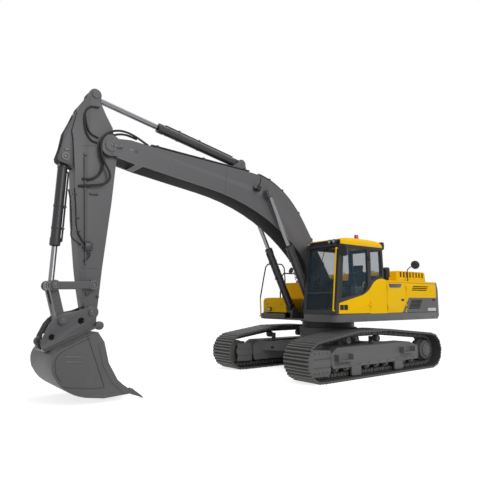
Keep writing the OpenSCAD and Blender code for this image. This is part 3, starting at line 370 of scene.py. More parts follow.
class Shape:
    """A mesh under construction."""

    def __init__(self) -> None:
        """Starts an empty mesh."""
        self.bm = bmesh.new()

    def box(self, lo: Point, hi: Point, turn: "Matrix | None" = None) -> "Shape":
        """Adds a block between two opposite corners.

        Args:
            lo: One corner.
            hi: The other corner.
            turn: A turn about the block's middle.

        Returns:
            The shape.
        """
        a, b = (Vector([pick(pair) for pair in zip(lo, hi)]) for pick in (min, max))
        where = Matrix.Translation((a + b) / 2) @ (turn or Matrix()) @ Matrix.Diagonal((*(b - a), 1.0))
        bmesh.ops.create_cube(self.bm, size=1.0, matrix=where)
        return self

    def rod(self, p: Point, q: Point, r: float, r_end: "float | None" = None, segments: int = 24) -> "Shape":
        """Adds a round bar or a cone.

        Args:
            p: Start of its axis.
            q: End of its axis.
            r: Radius at the start.
            r_end: Radius at the end, the same by default.
            segments: Sides of the round.

        Returns:
            The shape.
        """
        a, b = Vector(p), Vector(q)
        where = Matrix.Translation((a + b) / 2) @ unit_turn(b - a)
        bmesh.ops.create_cone(self.bm, cap_ends=True, segments=segments, radius1=r,
                              radius2=r if r_end is None else r_end, depth=(b - a).length, matrix=where)
        return self

    def ball(self, p: Point, r: float) -> "Shape":
        """Adds a small ball."""
        bmesh.ops.create_uvsphere(self.bm, u_segments=16, v_segments=10, radius=r, matrix=Matrix.Translation(p))
        return self

    def ring(self, p: Point, axis: Point, outer: float, inner: float, depth: float, segments: int = 32) -> "Shape":
        """Adds a flat ring by turning its section once round.

        Args:
            p: Middle of its lower face.
            axis: Direction of its axis.
            outer: Outer radius.
            inner: Inner radius.
            depth: Thickness along the axis.
            segments: Steps of the turn.

        Returns:
            The shape.
        """
        where = Matrix.Translation(p) @ unit_turn(axis)
        corners = [self.bm.verts.new(where @ Vector(c)) for c in
                   ((inner, 0, 0), (outer, 0, 0), (outer, 0, depth), (inner, 0, depth))]
        edges = [self.bm.edges.new((corners[i], corners[(i + 1) % 4])) for i in range(4)]
        bmesh.ops.spin(self.bm, geom=corners + edges, cent=p, axis=Vector(axis).normalized(), angle=2 * math.pi,
                       steps=segments, use_merge=True)
        return self

    def plate(self, outline: Sequence[Point], y0: float, y1: float) -> "Shape":
        """Adds a plate cut from a side outline.

        Args:
            outline: Points in X and Z.
            y0: One face.
            y1: The other face.

        Returns:
            The shape.
        """
        face = self.bm.faces.new([self.bm.verts.new((p[0], y0, p[1])) for p in outline])
        done = bmesh.ops.extrude_face_region(self.bm, geom=[face], use_keep_orig=True)
        moved = [g for g in done["geom"] if isinstance(g, bmesh.types.BMVert)]
        bmesh.ops.translate(self.bm, vec=(0, y1 - y0, 0), verts=moved)
        return self

    def tube(self, points: Sequence[Point], r: float, segments: int = 10) -> "Shape":
        """Adds a tube along points, by extruding its section from point to point.

        Args:
            points: The middle line.
            r: The radius.
            segments: Sides of the round.

        Returns:
            The shape.
        """
        line = [Vector(p) for p in points]
        ways = [(line[min(i + 1, len(line) - 1)] - line[max(i - 1, 0)]).normalized() for i in range(len(line))]
        turn = unit_turn(ways[0])
        frames = [Matrix.Translation(line[0]) @ turn]
        for before, way, point in zip(ways, ways[1:], line[1:]):
            turn = before.rotation_difference(way).to_matrix().to_4x4() @ turn
            frames.append(Matrix.Translation(point) @ turn)
        ring = bmesh.ops.create_circle(self.bm, cap_ends=True, segments=segments, radius=r, matrix=frames[0])["verts"]
        edges = list({e for v in ring for e in v.link_edges if e.other_vert(v) in ring})
        for last, now in zip(frames, frames[1:]):
            done = bmesh.ops.extrude_edge_only(self.bm, edges=edges)["geom"]
            edges = [g for g in done if isinstance(g, bmesh.types.BMEdge) and g.is_boundary]
            verts = [g for g in done if isinstance(g, bmesh.types.BMVert)]
            bmesh.ops.transform(self.bm, matrix=now @ last.inverted(), verts=verts)
        bmesh.ops.contextual_create(self.bm, geom=edges)
        return self

    def bolts(self, places: Sequence[Point], axis: Point, r: float, height: float) -> "Shape":
        """Adds six-sided bolt heads on washers.

        Args:
            places: Where the heads sit.
            axis: The way they point.
            r: Radius of a head.
            height: Height of a head.

        Returns:
            The shape.
        """
        way = Vector(axis).normalized()
        for p in places:
            self.rod(Vector(p) - 0.002 * way, Vector(p) + 0.003 * way, r * 1.4, segments=16)
            self.rod(Vector(p) + 0.002 * way, Vector(p) + height * way, r, r * 0.94, segments=6)
        return self

    def collar(self, p: Point, way: Point, ring: Point, bolt: Point) -> "Shape":
        """Adds a ring with a bolt head in it at a pin's end.

        Args:
            p: Middle of the pin's end.
            way: Direction of the pin.
            ring: Outer radius, inner radius and depth of the ring.
            bolt: Radius and height of the head.

        Returns:
            The shape.
        """
        return self.ring(p, way, *ring).bolts([p], way, *bolt)

    def bevel(self, width: float) -> "Shape":
        """Rounds the sharp edges and marks the rounds for wear.

        Args:
            width: Width of the rounds.

        Returns:
            The shape.
        """
        mark = self.bm.faces.layers.float.get("edge") or self.bm.faces.layers.float.new("edge")
        sharp = [e for e in self.bm.edges
                 if len(e.link_faces) == 2 and e.calc_face_angle(0.0) > ROUNDED_ANGLE]
        done = bmesh.ops.bevel(self.bm, geom=sharp, offset=width, offset_type="OFFSET", affect="EDGES",
                               segments=2, profile=0.5, material=-1, clamp_overlap=True)
        for face in done["faces"]:
            face[mark] = 1.0
        return self

    def object(self, name: str, finishes: Sequence[Finish], paint: "Paint | None" = None) -> bpy.types.Object:
        """Makes the shape an object.

        Args:
            name: The piece's name.
            finishes: Its finishes; the first is the main one.
            paint: Gives a finish's number for the middle of a face.

        Returns:
            The object.
        """
        bmesh.ops.recalc_face_normals(self.bm, faces=self.bm.faces)
        for face in self.bm.faces:
            face.smooth = True
            if paint:
                face.material_index = paint(face.calc_center_median())
        mesh = bpy.data.meshes.new(name)
        self.bm.to_mesh(mesh)
        self.bm.free()
        mesh.set_sharp_from_angle(angle=SHARP_ANGLE)
        for finish in finishes:
            mesh.materials.append(finish.material())
        return placed(name, mesh)

    def piece(self, name: str, body: str, *finishes: Finish, paint: "Paint | None" = None,
              replaces: "str | None" = None) -> bpy.types.Object:
        """Makes the shape a piece of the machine.

        Args:
            name: The piece's name.
            body: The body it rides on.
            finishes: Its finishes.
            paint: Gives a finish's number for the middle of a face.
            replaces: The node that it stands for.

        Returns:
            The object.
        """
        obj = self.object(name, finishes, paint)
        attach(obj, body)
        if replaces:
            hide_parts(replaces)
        LOG.info("%s on %s, %d faces", name, body, len(obj.data.polygons))
        return obj


def smooth_path(points: Sequence[Point], steps: int = 6) -> list[Vector]:
    """Runs a smooth line through points.

    Args:
        points: The points to pass.
        steps: Steps between two points.

    Returns:
        The denser line.
    """
    p = [Vector(q) for q in points]
    p = [2 * p[0] - p[1]] + p + [2 * p[-1] - p[-2]]
    line = []
    for a, b, c, d in zip(p, p[1:], p[2:], p[3:]):
        for i in range(steps):
            t = i / steps
            line.append(0.5 * (2 * b + (c - a) * t + (2 * a - 5 * b + 4 * c - d) * t * t
                               + (3 * b - a - 3 * c + d) * t ** 3))
    return line + [p[-2]]


def path_length(line: Sequence[Vector]) -> float:
    """Measures a line."""
    return sum((b - a).length for a, b in zip(line, line[1:]))


@dataclass
class Dresser:
    """Rounds and paints a node's own solid."""

    node: str
    finishes: tuple[Finish, ...]
    round_off: float = 0.004
    paint: "Paint | None" = None
    cuts: tuple[tuple[Point, Point], ...] = ()
    reshape: "Callable[[Vector], Vector] | None" = None

    def build(self) -> bpy.types.Object:
        """Makes the dressed piece from a merged copy of the node's mesh.

        Returns:
            The piece.
        """
        source = frame["nodes"][self.node]
        shape = Shape()
        shape.bm.from_mesh(source.data)
        for v in shape.bm.verts if self.reshape else ():
            v.co = self.reshape(v.co)
        bmesh.ops.remove_doubles(shape.bm, verts=shape.bm.verts, dist=MERGE_DISTANCE)
        for layer in list(shape.bm.loops.layers.uv):
            shape.bm.loops.layers.uv.remove(layer)
        for face in shape.bm.faces:
            face.material_index = 0
        bmesh.ops.dissolve_limit(shape.bm, angle_limit=FLAT_ANGLE, verts=shape.bm.verts, edges=shape.bm.edges)
        for place, way in self.cuts:
            geom = shape.bm.verts[:] + shape.bm.edges[:] + shape.bm.faces[:]
            bmesh.ops.bisect_plane(shape.bm, geom=geom, dist=MERGE_DISTANCE, plane_co=place, plane_no=way)
        if self.round_off > 0.0:
            shape.bevel(self.round_off)
        return shape.piece("dressed_" + self.node, source["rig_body"], *self.finishes, paint=self.paint,
                           replaces=self.node)


def dress(*rows: tuple[str, Finish, float]) -> None:
    """Dresses nodes in one finish each, with the width of their rounds."""
    for node, finish, width in rows:
        Dresser(node, (finish,), width).build()


def eye_paint(eye: Vector, reach: float) -> Paint:
    """Paints a rod's eye and leaves the rod bright.

    Args:
        eye: Middle of the eye in the side view.
        reach: How far from it the paint goes.

    Returns:
        The painting rule.
    """
    return lambda p: int(math.hypot(p.x - eye.x, p.z - eye.z) < reach)


@dataclass
class BarrelTrim:
    """Gland, clamps and oil pipe of one cylinder."""

    name: str
    body: str
    foot: Vector
    eye: Vector
    gland: float
    radius: float
    under: bool = False

    def build(self) -> None:
        """Makes the gland's bolts and collars, and the pipe in its clamps."""
        way = (self.eye - self.foot).normalized()
        off = Vector((-way.z, 0.0, way.x)) * (-1 if self.under else 1)
        side = way.cross(off)
        trim = Shape()
        for start, depth, grow in ((self.gland - 0.122, 0.020, 0.005), (self.gland - 0.006, 0.020, 0.004),
                                   (0.55 * self.gland, 0.035, 0.007), (0.80 * self.gland, 0.035, 0.007)):
            trim.ring(self.foot + way * start, way, self.radius + grow, self.radius - 0.014, depth)
        end = self.foot + way * (self.gland + 0.010)
        ring = [end + (self.radius - 0.016) * (math.cos(a) * off + math.sin(a) * side) for a in even(8)]
        trim.bolts(ring, way, 0.010, 0.012)
        reach = self.radius + 0.026
        trim.tube(smooth_path([self.foot + way * t + off * d for t, d in
                               ((self.gland - 0.06, self.radius - 0.005), (self.gland - 0.075, reach - 0.004),
                                (self.gland - 0.13, reach), (0.6 * self.gland, reach), (0.30, reach),
                                (0.255, reach - 0.004), (0.235, self.radius - 0.005))], 5), 0.016)
        for t in (0.555, 0.805):
            middle = self.foot + way * (t * self.gland + 0.012) + off * (self.radius + 0.022)
            trim.rod(middle - side * 0.034, middle + side * 0.034, 0.024, segments=12)
        trim.bevel(0.002).piece(self.name, self.body, BARREL_AND_SEAM_SHADE)


@dataclass
class Studio:
    """Camera, floor and light."""

    camera_at: Point = (9.022, 8.170, 1.638)
    heading: float = 52.76
    pitch: float = 7.55
    lens: float = 34.74
    floor_size: float = 160.0
    floor_glow: float = 0.78
    fill: float = 0.30

    def camera(self) -> None:
        """Sets the camera at the photograph's viewing angle."""
        data = bpy.data.cameras.new("camera")
        data.lens, data.sensor_width, data.clip_end = self.lens, 36.0, 400.0
        cam = placed("camera", data)
        h, p = math.radians(self.heading), math.radians(self.pitch)
        way = Vector((-math.cos(h) * math.cos(p), -math.sin(h) * math.cos(p), math.sin(p)))
        cam.location = self.camera_at
        cam.rotation_euler = way.to_track_quat("-Z", "Y").to_euler()
        bpy.context.scene.camera = cam

    def floor(self) -> None:
        """Lays the pale floor, white to the camera away from the shadow."""
        mat = bpy.data.materials.new("studio_floor")
        mat.use_nodes = True
        mat.node_tree.nodes.clear()
        graph = Graph(mat.node_tree)
        diffuse = graph.node("ShaderNodeBsdfDiffuse", {"Color": (0.80, 0.80, 0.80, 1.0)}).outputs[0]
        glow = graph.node("ShaderNodeEmission", {"Strength": self.floor_glow}).outputs[0]
        both = graph.node("ShaderNodeAddShader", {0: diffuse, 1: glow}).outputs[0]
        pick = graph.node("ShaderNodeMixShader", {0: self._seen(graph), 1: diffuse, 2: both}).outputs[0]
        graph.node("ShaderNodeOutputMaterial", {"Surface": pick})
        bm = bmesh.new()
        bmesh.ops.create_grid(bm, x_segments=2, y_segments=2, size=self.floor_size / 2)
        bmesh.ops.translate(bm, vec=(0, 0, -0.002), verts=bm.verts)
        mesh = bpy.data.meshes.new("studio_floor")
        bm.to_mesh(mesh)
        bm.free()
        mesh.materials.append(mat)
        placed("studio_floor", mesh)

    @staticmethod
    def _seen(graph: Graph) -> Socket:
        """Tells rays from the camera, from gloss and through glass apart from the light's own.

        Args:
            graph: The nodes to add to.

        Returns:
            One for such rays.
        """
        path = graph.node("ShaderNodeLightPath", {}).outputs
        near = graph.join("MAXIMUM", path["Is Camera Ray"], path["Is Glossy Ray"])
        return graph.join("MAXIMUM", near, path["Is Transmission Ray"])

    def light(self) -> None:
        """Hangs the soft lamps and sets the white surroundings."""
        world = bpy.data.worlds.new("studio")
        bpy.context.scene.world = world
        world.use_nodes = True
        graph = Graph(world.node_tree)
        fill = world.node_tree.nodes["Background"]
        fill.inputs["Color"].default_value = WHITE
        fill.inputs["Strength"].default_value = self.fill
        white = graph.node("ShaderNodeBackground", {"Color": WHITE, "Strength": 1.0})
        pick = graph.node("ShaderNodeMixShader", {0: self._seen(graph), 1: fill.outputs[0], 2: white.outputs[0]})
        world.node_tree.links.new(pick.outputs[0], world.node_tree.nodes["World Output"].inputs["Surface"])
        for name, at, aim, size, watts in (
                ("key_lamp", (3.0, 15.0, 9.0), (1.5, 0.0, 1.8), 9.0, 1080.0),
                ("top_lamp", (0.0, 1.0, 15.0), (1.0, 0.0, 0.0), 12.0, 580.0)):
            data = bpy.data.lights.new(name, "AREA")
            data.size, data.energy = size, watts
            lamp = placed(name, data)
            lamp.location = at
            lamp.rotation_euler = (Vector(aim) - Vector(at)).to_track_quat("-Z", "Y").to_euler()


@dataclass
class Hoses:
    """Free hydraulic hoses across the boom's tip and clamped ones on the arm."""

    radius: float = 0.021
    tip_high: tuple[Point, ...] = (
        (5.199, 4.628), (5.488, 4.735), (5.704, 4.774), (5.883, 4.754), (6.040, 4.668), (6.134, 4.518), (6.140, 4.316),
        (6.076, 4.129), (5.984, 3.975), (5.964, 3.836), (6.074, 3.720), (6.293, 3.666), (6.490, 3.640))
    tip_low: tuple[Point, ...] = (
        (5.443, 4.700), (5.660, 4.735), (5.839, 4.705), (5.984, 4.620), (6.078, 4.481), (6.107, 4.274), (6.082, 4.079),
        (6.140, 3.898), (6.287, 3.790), (6.430, 3.775))

    def build(self) -> None:
        """Makes the hoses that cross the boom's tip and those that lie on the arm."""
        for side, side_name in NAMED_SIDES:
            for name, route, y in (("outer", self.tip_high, 0.262), ("inner", self.tip_low, 0.215)):
                last = len(route) - 1
                self.across_tip(f"tip_hose_{name}_{side_name}",
                                [(p[0], side * self._spread(i / last, y), p[1]) for i, p in enumerate(route)])
        self.on_arm()

    @staticmethod
    def _spread(part: float, y: float) -> float:
        """Bows the hose out past the fork between the boom's pipes and the arm's side."""
        ends = 0.205 if part < 0.5 else 0.186
        return ends + (y - ends) * min(1.0, 2.6 * math.sin(math.pi * part))

    def across_tip(self, name: str, points: Sequence[Point]) -> None:
        """Makes a hose that runs across between the boom and the arm.

        Args:
            name: The piece's name.
            points: Points on its route.
        """
        line = smooth_path(points, 3)
        shape = Shape().tube(line, self.radius, 12)
        obj = shape.object(name, (RUBBER,))
        tuple(line[6])
        tuple(line[-6])
        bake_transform(obj)
        tuple(line[0])
        path_length(line)
        [tuple(p) for p in line]
        LOG.info("%s, %.2f m", name, path_length(line))

    def on_arm(self) -> None:
        """Makes the clamped hoses on the arm's left side and the loops on its head."""
        for name, radius, route in (
                ("arm_hose_front", 0.013, ((6.660, 0.186, 3.550), (6.620, 0.186, 3.367), (6.579, 0.186, 2.944),
                                           (6.570, 0.186, 2.731), (6.400, 0.190, 2.600))),
                ("arm_hose_rear", 0.013, ((6.560, 0.186, 3.586), (6.525, 0.186, 3.265), (6.490, 0.186, 2.894),
                                          (6.391, 0.186, 2.692), (6.300, 0.190, 2.592))),
                ("arm_head_hose_outer", 0.015, ((6.182, 0.192, 5.150), (6.350, 0.196, 5.120), (6.430, 0.196, 5.000),
                                                (6.440, 0.192, 4.836), (6.400, 0.190, 4.640), (6.310, 0.190, 4.510),
                                                (6.190, 0.186, 4.480))),
                ("arm_head_hose_inner", 0.015, ((6.425, 0.180, 4.940), (6.415, 0.186, 4.860), (6.385, 0.186, 4.740),
                                                (6.320, 0.186, 4.630), (6.175, 0.184, 4.575)))):
            Shape().tube(smooth_path(route), radius).piece(name, "arm", RUBBER)


@dataclass
class Undercarriage:
    """Track frames, tracks, wheels and the swing bearing."""

    axle: float = 2.0
    axle_z: float = 0.430
    track_y: float = 1.295
    shoes: int = 51
    belt_r: float = 0.382
    carriers: tuple[float, float] = (0.840, -0.210)
    carrier_z: float = 0.785
    carrier_belt_r: float = 0.185
    link_y: float = 0.107
    link_depth: float = 0.052
    shoe_bolt_y: float = 0.075
    shoe_half: float = 0.346
    groove_top: float = 0.021
    tip_from: float = 0.0455
    grooves: tuple[Point, ...] = ((0.0, 0.007), (0.30, 0.012), (0.70, 0.012))
    rollers: int = 9
    roller_x: float = -1.38
    roller_step: float = 0.345
    roller_z: float = 0.238

    def build(self) -> None:
        """Dresses the undercarriage's solids and adds what is fixed to them."""
        dress(("car_body", FRAME_COAT, 0.006), ("slew_ring", BLACK, 0.004), ("track_frames", FRAME_COAT, 0.006),
              ("idlers", TRACK_STEEL, 0.006), ("drive_sprockets", FRAME_COAT, 0.006), ("rollers", TRACK_STEEL, 0.005))
        for node in ("track_left", "track_right"):
            Dresser(node, (TRACK_STEEL, VALLEY_PAINTED_SHADE, TIP_PAINTED_HIGHLIGHT), 0.003, paint=self.tread_paint()).build()
        self.chains()
        self.fixings()

    def tread_paint(self) -> Paint:
        """Paints shade on the shoes between the grousers and a painted highlight on the grousers' tips.

        Returns:
            The painting rule.
        """
        seats = self.seats()
        runs = [(p, (q - p).normalized(), (q - p).length) for (p, _), (q, _) in zip(seats, seats[1:] + seats[:1])]

        def paint(c: Vector) -> int:
            """Picks the finish by the height above the shoe's seat.

            Args:
                c: Middle of a face.

            Returns:
                The finish's number.
            """
            if abs(abs(c.y) - self.track_y) > self.shoe_half + 0.001:
                return 0
            at = Vector((c.x, c.z))
            near = min(runs, key=lambda run: (run[0] + run[1] * run[2] / 2 - at).length)
            height = (at - near[0]).dot(Vector((near[1].y, -near[1].x)))
            # Low faces in the grooves get the painted shade, and the grousers' tips get the painted highlight.
            return 1 if height < self.groove_top else 2 if height > self.tip_from else 0

        return paint

    def seats(self) -> list[tuple[Vector, Vector]]:
        """Walks once round the belt.

        Returns:
            The middle of each shoe's seat and the way out from it, in X and Z.
        """
        wheels = [(Vector((-self.axle, self.axle_z)), self.belt_r), (Vector((self.axle, self.axle_z)), self.belt_r),
                  (Vector((self.carriers[0], self.carrier_z)), self.carrier_belt_r),
                  (Vector((self.carriers[1], self.carrier_z)), self.carrier_belt_r)]
        facing = []
        for (p, r), (q, s) in zip(wheels, wheels[1:] + wheels[:1]):
            gap = q - p
            a = math.degrees(math.atan2(gap.y, gap.x)) - math.degrees(math.acos((r - s) / gap.length))
            facing.append(a + 360 if a < -91 else a)
        legs = []
        for i in range(4):
            (p, r), (q, s) = wheels[i], wheels[(i + 1) % 4]
            legs.append((0, i, math.sqrt((q - p).length ** 2 - (r - s) ** 2)))
            turn = facing[(i + 1) % 4] + (360 if i == 3 else 0) - facing[i]
            legs.append((1, i, s * math.radians(turn)))
        total = sum(leg[2] for leg in legs)
        return [self._place(wheels, facing, legs, k * total / self.shoes) for k in range(self.shoes)]

    @staticmethod
    def _place(wheels: list, facing: list[float], legs: list, way: float) -> tuple[Vector, Vector]:
        """Finds the place a way along the belt.

        Args:
            wheels: Middles and radii of the wheels.
            facing: The straight runs' outward angles.
            legs: The belt's straight runs and arcs.
            way: Distance along the belt.

        Returns:
            The place and the way out from it.
        """
        for kind, i, length in legs:
            if way <= length:
                break
            way -= length
        if kind == 0:
            a = math.radians(facing[i])
            out = Vector((math.cos(a), math.sin(a)))
            return wheels[i][0] + wheels[i][1] * out + way * Vector((-out.y, out.x)), out
        middle, r = wheels[(i + 1) % 4]
        a = math.radians(facing[i]) + way / r
        out = Vector((math.cos(a), math.sin(a)))
        return middle + r * out, out

    def chains(self) -> None:
        """Adds link plates, link pins, shoe bolts and dark strips of painted shade in the grooves and the gaps between
        shoes to both tracks.
        """
        seats = self.seats()
        links, bolts, shade_strips = Shape(), Shape(), Shape()
        for (p, out), (q, _) in zip(seats, seats[1:] + seats[:1]):
            along = (q - p).normalized()
            plate = Vector((along.y, -along.x))
            middle = (p + q) / 2
            turn = Matrix.Rotation(-math.atan2(along.y, along.x), 4, "Y")
            inner = middle - self.link_depth * plate
            pin = p - self.link_depth * out
            for s in SIDES:
                mid_y = s * self.track_y
                # Dark strips of painted shade in the gap between shoes and in the grooves.
                for part, wide in self.grooves:
                    at = p + part * (q - p) + self.groove_top * plate
                    shade_strips.box((at.x - wide, mid_y - self.shoe_half, at.y - 0.010),
                             (at.x + wide, mid_y + self.shoe_half, at.y + 0.010), turn)
                for e in SIDES:
                    y = s * (self.track_y + e * self.link_y)
                    links.box((inner.x - 0.042, y - 0.011, inner.y - 0.030),
                              (inner.x + 0.042, y + 0.011, inner.y + 0.040), turn)
                    links.rod((pin.x, y - 0.016, pin.y), (pin.x, y + 0.016, pin.y), 0.036, segments=14)
                    y = s * (self.track_y + e * self.shoe_bolt_y)
                    for f in (-0.035, 0.035):
                        at = middle + f * along + 0.016 * plate
                        bolts.bolts([(at.x, y, at.y)], (plate.x, 0, plate.y), 0.013, 0.014)
        links.piece("chain_links", "undercarriage", TRACK_STEEL)
        shade_strips.piece("groove_painted_shade", "undercarriage", VALLEY_PAINTED_SHADE)
        bolts.piece("shoe_bolts", "undercarriage", STEEL)

    def fixings(self) -> None:
        """Adds bolt rings, hub covers, roller ends and the idlers' inner covers."""
        bolts, hubs = Shape(), Shape()
        for s in SIDES:
            y, way = s * self.track_y, (0, s, 0)
            hub = Vector((-self.axle, y, self.axle_z))
            for r, count, off in ((0.198, 18, 0.150), (0.132, 10, 0.190)):
                bolts.bolts(circle(shifted(hub, y + s * off), r, even(count)), way, 0.012, 0.014)
            hubs.ring(shifted(hub, y + s * 0.188), way, 0.085, 0.030, 0.014)
            hubs.rod(shifted(hub, y + s * 0.186), shifted(hub, y + s * 0.206), 0.034, 0.028)
            for x in self.carriers:
                hubs.ring((x, y + s * 0.058, self.carrier_z), way, 0.062, 0.034, 0.010)
                bolts.bolts(circle((x, y + s * 0.068, self.carrier_z), 0.046, (0.5, 2.6, 4.7)), way, 0.007, 0.008)
            for i in range(self.rollers):
                x = self.roller_x + i * self.roller_step
                bolts.bolts([(x + e * 0.03, y + s * 0.210, 0.300) for e in SIDES], way, 0.010, 0.012)
                hubs.ring((x, y + s * 0.119, self.roller_z), way, 0.072, 0.036, 0.012)
                hubs.ring((x, y + s * 0.158, self.roller_z), way, 0.052, 0.034, 0.012)
            for x in (1.68, 1.80, 1.92, 2.04):
                bolts.bolts([(x, y + s * 0.188, z) for z in (0.585, 0.190)], way, 0.013, 0.014)
            face = y - s * 0.176
            for low, high in ((0.180, 0.300), (0.316, 0.466), (0.482, 0.610)):
                hubs.box((1.600, face, low), (2.050, face - s * 0.014, high))
            hubs.box((1.600, face, 0.200), (2.030, face + s * 0.008, 0.590))
        bolts.piece("undercarriage_bolts", "undercarriage", STEEL)
        hubs.bevel(0.003).piece("hub_covers", "undercarriage", FRAME_COAT)


@dataclass
class UpperBody:
    """The revolving upper body without the cab."""

    door_y: float = 1.445
    seam: tuple[Point, Point] = ((-1.235, 0.0, 1.545), (0.8, 0.0, 0.65))
    field_z: float = 1.732
    right_field_x: float = -1.2
    rail_z: float = 1.735
    rail_x: float = 0.357
    box_top: float = 1.732
    tank_top: float = 2.140
    cap_at: tuple[float, float] = (-0.05, -1.10)

    def build(self) -> None:
        """Dresses the upper body's solids and adds fittings."""
        dress(("revolving_frame", GRAPHITE, 0.006), ("side_sills", GRAPHITE, 0.012), ("counterweight", GRAPHITE, 0.014),
              ("engine", BLACK, 0.006), ("deck_cover", YELLOW, 0.004), ("fuel_tank", YELLOW, 0.016),
              ("exhaust", BLACK, 0.005), ("engine_hood", YELLOW, 0.008), ("mirrors", MOULDED, 0.004))
        Dresser("toolbox", (YELLOW, GRAPHITE), 0.008, paint=lambda p: int(p.z < 1.340)).build()
        Dresser("handrails", (BLACK, YELLOW), 0.0, paint=self.rail_paint,
                cuts=(((0, 0, self.rail_z), (0, 0, 1)), ((self.rail_x, 0, 0), (1, 0, 0)))).build()
        self.doors()
        self.fittings()
        self.grilles()

    def rail_paint(self, p: Vector) -> int:
        """Tells the yellow lengths of the handrails from the black ones."""
        return int(p.y > 0.0 or p.z < self.rail_z)

    def door_paint(self, p: Vector) -> int:
        """Tells the grey lower field of the left doors from the yellow one."""
        place, way = (Vector(v) for v in self.seam)
        return int(p.z < self.field_z and (p - place).dot(way) < 0.0)

    def doors(self) -> None:
        """Dresses the side doors with a grey lower field, and adds latches and blank plates."""
        level = ((0, 0, self.field_z), (0, 0, 1))
        for node in ("left_front_door", "left_rear_door"):
            Dresser(node, (YELLOW, GRAPHITE), 0.005, paint=self.door_paint, cuts=(level, self.seam)).build()
        Dresser("right_rear_door", (YELLOW, GRAPHITE), 0.005,
                paint=lambda p: int(p.z < self.field_z and p.x < self.right_field_x),
                cuts=(level, ((self.right_field_x, 0, 0), (1, 0, 0)))).build()
        for name, s, x in (("left_front", 1, -1.119), ("left_rear", 1, -2.52), ("right_rear", -1, -2.45)):
            y = s * self.door_y
            latch = Shape().box((x - 0.055, y, 1.650), (x + 0.055, y + s * 0.008, 1.700))
            latch.box((x - 0.030, y, 1.662), (x + 0.040, y + s * 0.020, 1.688))
            latch.rod((x - 0.040, y, 1.675), (x - 0.040, y + s * 0.014, 1.675), 0.009)
            latch.bevel(0.003).piece(f"{name}_latch", f"{name}_door", MOULDED)
        y0, y1 = self.door_y, self.door_y + 0.004
        badge = Shape().plate(((-0.560, 2.060), (-1.120, 2.066), (-1.040, 1.973), (-0.600, 1.964)), y0, y1)
        badge.bevel(0.0015).piece("blank_door_badge", "left_front_door", BADGE)
        blank = Shape().box((-2.600, y0, 1.392), (-2.215, y1, 1.470))
        blank.bevel(0.0015).piece("blank_rear_plate", "left_rear_door", BLANK)

    def fittings(self) -> None:
        """Adds handles, mirror faces, fuel cap, tread rings, lamp lens and lifting eyes."""
        handles, eyes = Shape(), Shape()
        for s in SIDES:
            y = s * 0.50
            handles.tube(smooth_path([(-1.30, y, 2.40), (-1.30, y, 2.432), (-1.24, y, 2.436), (-1.18, y, 2.428),
                                      (-1.18, y, 2.38)], 4), 0.010)
            loop = ((0.62, 2.140), (0.62, 2.205), (0.55, 2.232), (0.48, 2.205), (0.48, 2.140))
            eyes.tube(smooth_path([(-2.80, s * y, z) for y, z in loop], 5), 0.018)
        handles.piece("hood_handles", "engine_hood", BLACK)
        eyes.piece("counterweight_eyes", "upper", GRAPHITE)
        glass = Shape().rod((-1.985, 1.275, 2.580), (-1.9865, 1.2745, 2.5805), 0.056)
        glass.box((1.102, 1.487, 2.640), (1.1035, 1.623, 2.845))
        glass.piece("mirror_faces", "upper", MIRROR)
        foot, neck, top = ((*self.cap_at, z) for z in (self.tank_top, 2.185, 2.200))
        caps = Shape().rod(foot, neck, 0.062).ring(foot, (0, 0, 1), 0.085, 0.05, 0.012)
        caps.rod(neck, top, 0.030, segments=6).bevel(0.003).piece("fuel_cap", "upper", BLACK)
        tread = Shape()
        for xs, ys, z in (((0.34, 0.48, 0.62, 0.76, 0.90), (-1.24, -1.12, -1.00, -0.88, -0.76, -0.66), self.box_top),
                          ((-0.38, -0.22, 0.10), (-1.30, -0.90, -0.70, -0.56), self.tank_top)):
            for x in xs:
                for y in ys:
                    tread.ring((x, y, z), (0, 0, 1), 0.022, 0.012, 0.004, 12)
        tread.piece("tread_rings", "upper", STEEL)
        lens = Shape().box((1.040, -1.137, 1.410), (1.045, -1.033, 1.470))
        lens.bevel(0.003).piece("toolbox_lamp_lens", "upper", LENS)
        self.bolts()

    def bolts(self) -> None:
        """Adds the bolts of the sills, the boom's foot, the cylinders' feet and the toolbox."""
        bolts = Shape()
        for s in SIDES:
            way = (0, s, 0)
            sill = [(x, s * self.door_y, 1.230) for x in (-2.45, -1.75, -1.05, -0.35, 0.35, 0.85)]
            bolts.bolts(sill, way, 0.012, 0.012)
            bolts.bolts(circle((0.230, s * 0.357, 1.950), 0.085, (0.3, 1.55, 2.8, 4.05, 5.3)), way, 0.011, 0.012)
            bolts.bolts(circle((0.880, s * 0.443, 1.390), 0.045, (0.6, 2.7, 4.8)), way, 0.009, 0.010)
        bolts.bolts([(1.014, y, 1.57) for y in (-1.18, -0.66)], (1, 0, 0), 0.011, 0.012)
        bolts.bolts([(1.060, y, 1.300) for y in (-1.33, -1.05, -0.75, -0.53)], (1, 0, 0), 0.014, 0.014)
        bolts.piece("upper_bolts", "upper", STEEL)

    def grilles(self) -> None:
        """Puts mesh behind the louvres of the hood and the doors."""
        for s, name in NAMED_SIDES:
            net = Shape().box((-2.62, s * 1.092, 2.250), (-1.50, s * 1.098, 2.388))
            net.bevel(0.001).piece(f"hood_mesh_{name}", "engine_hood", MESH)
            net = Shape()
            for x0, x1, z0, z1 in ((-2.12, -1.33, 1.440, 1.710), (-2.50, -1.47, 1.890, 2.060)):
                net.box((x0, s * 1.392, z0), (x1, s * 1.398, z1))
            net.bevel(0.001).piece(f"door_mesh_{name}", f"{name}_rear_door", MESH)


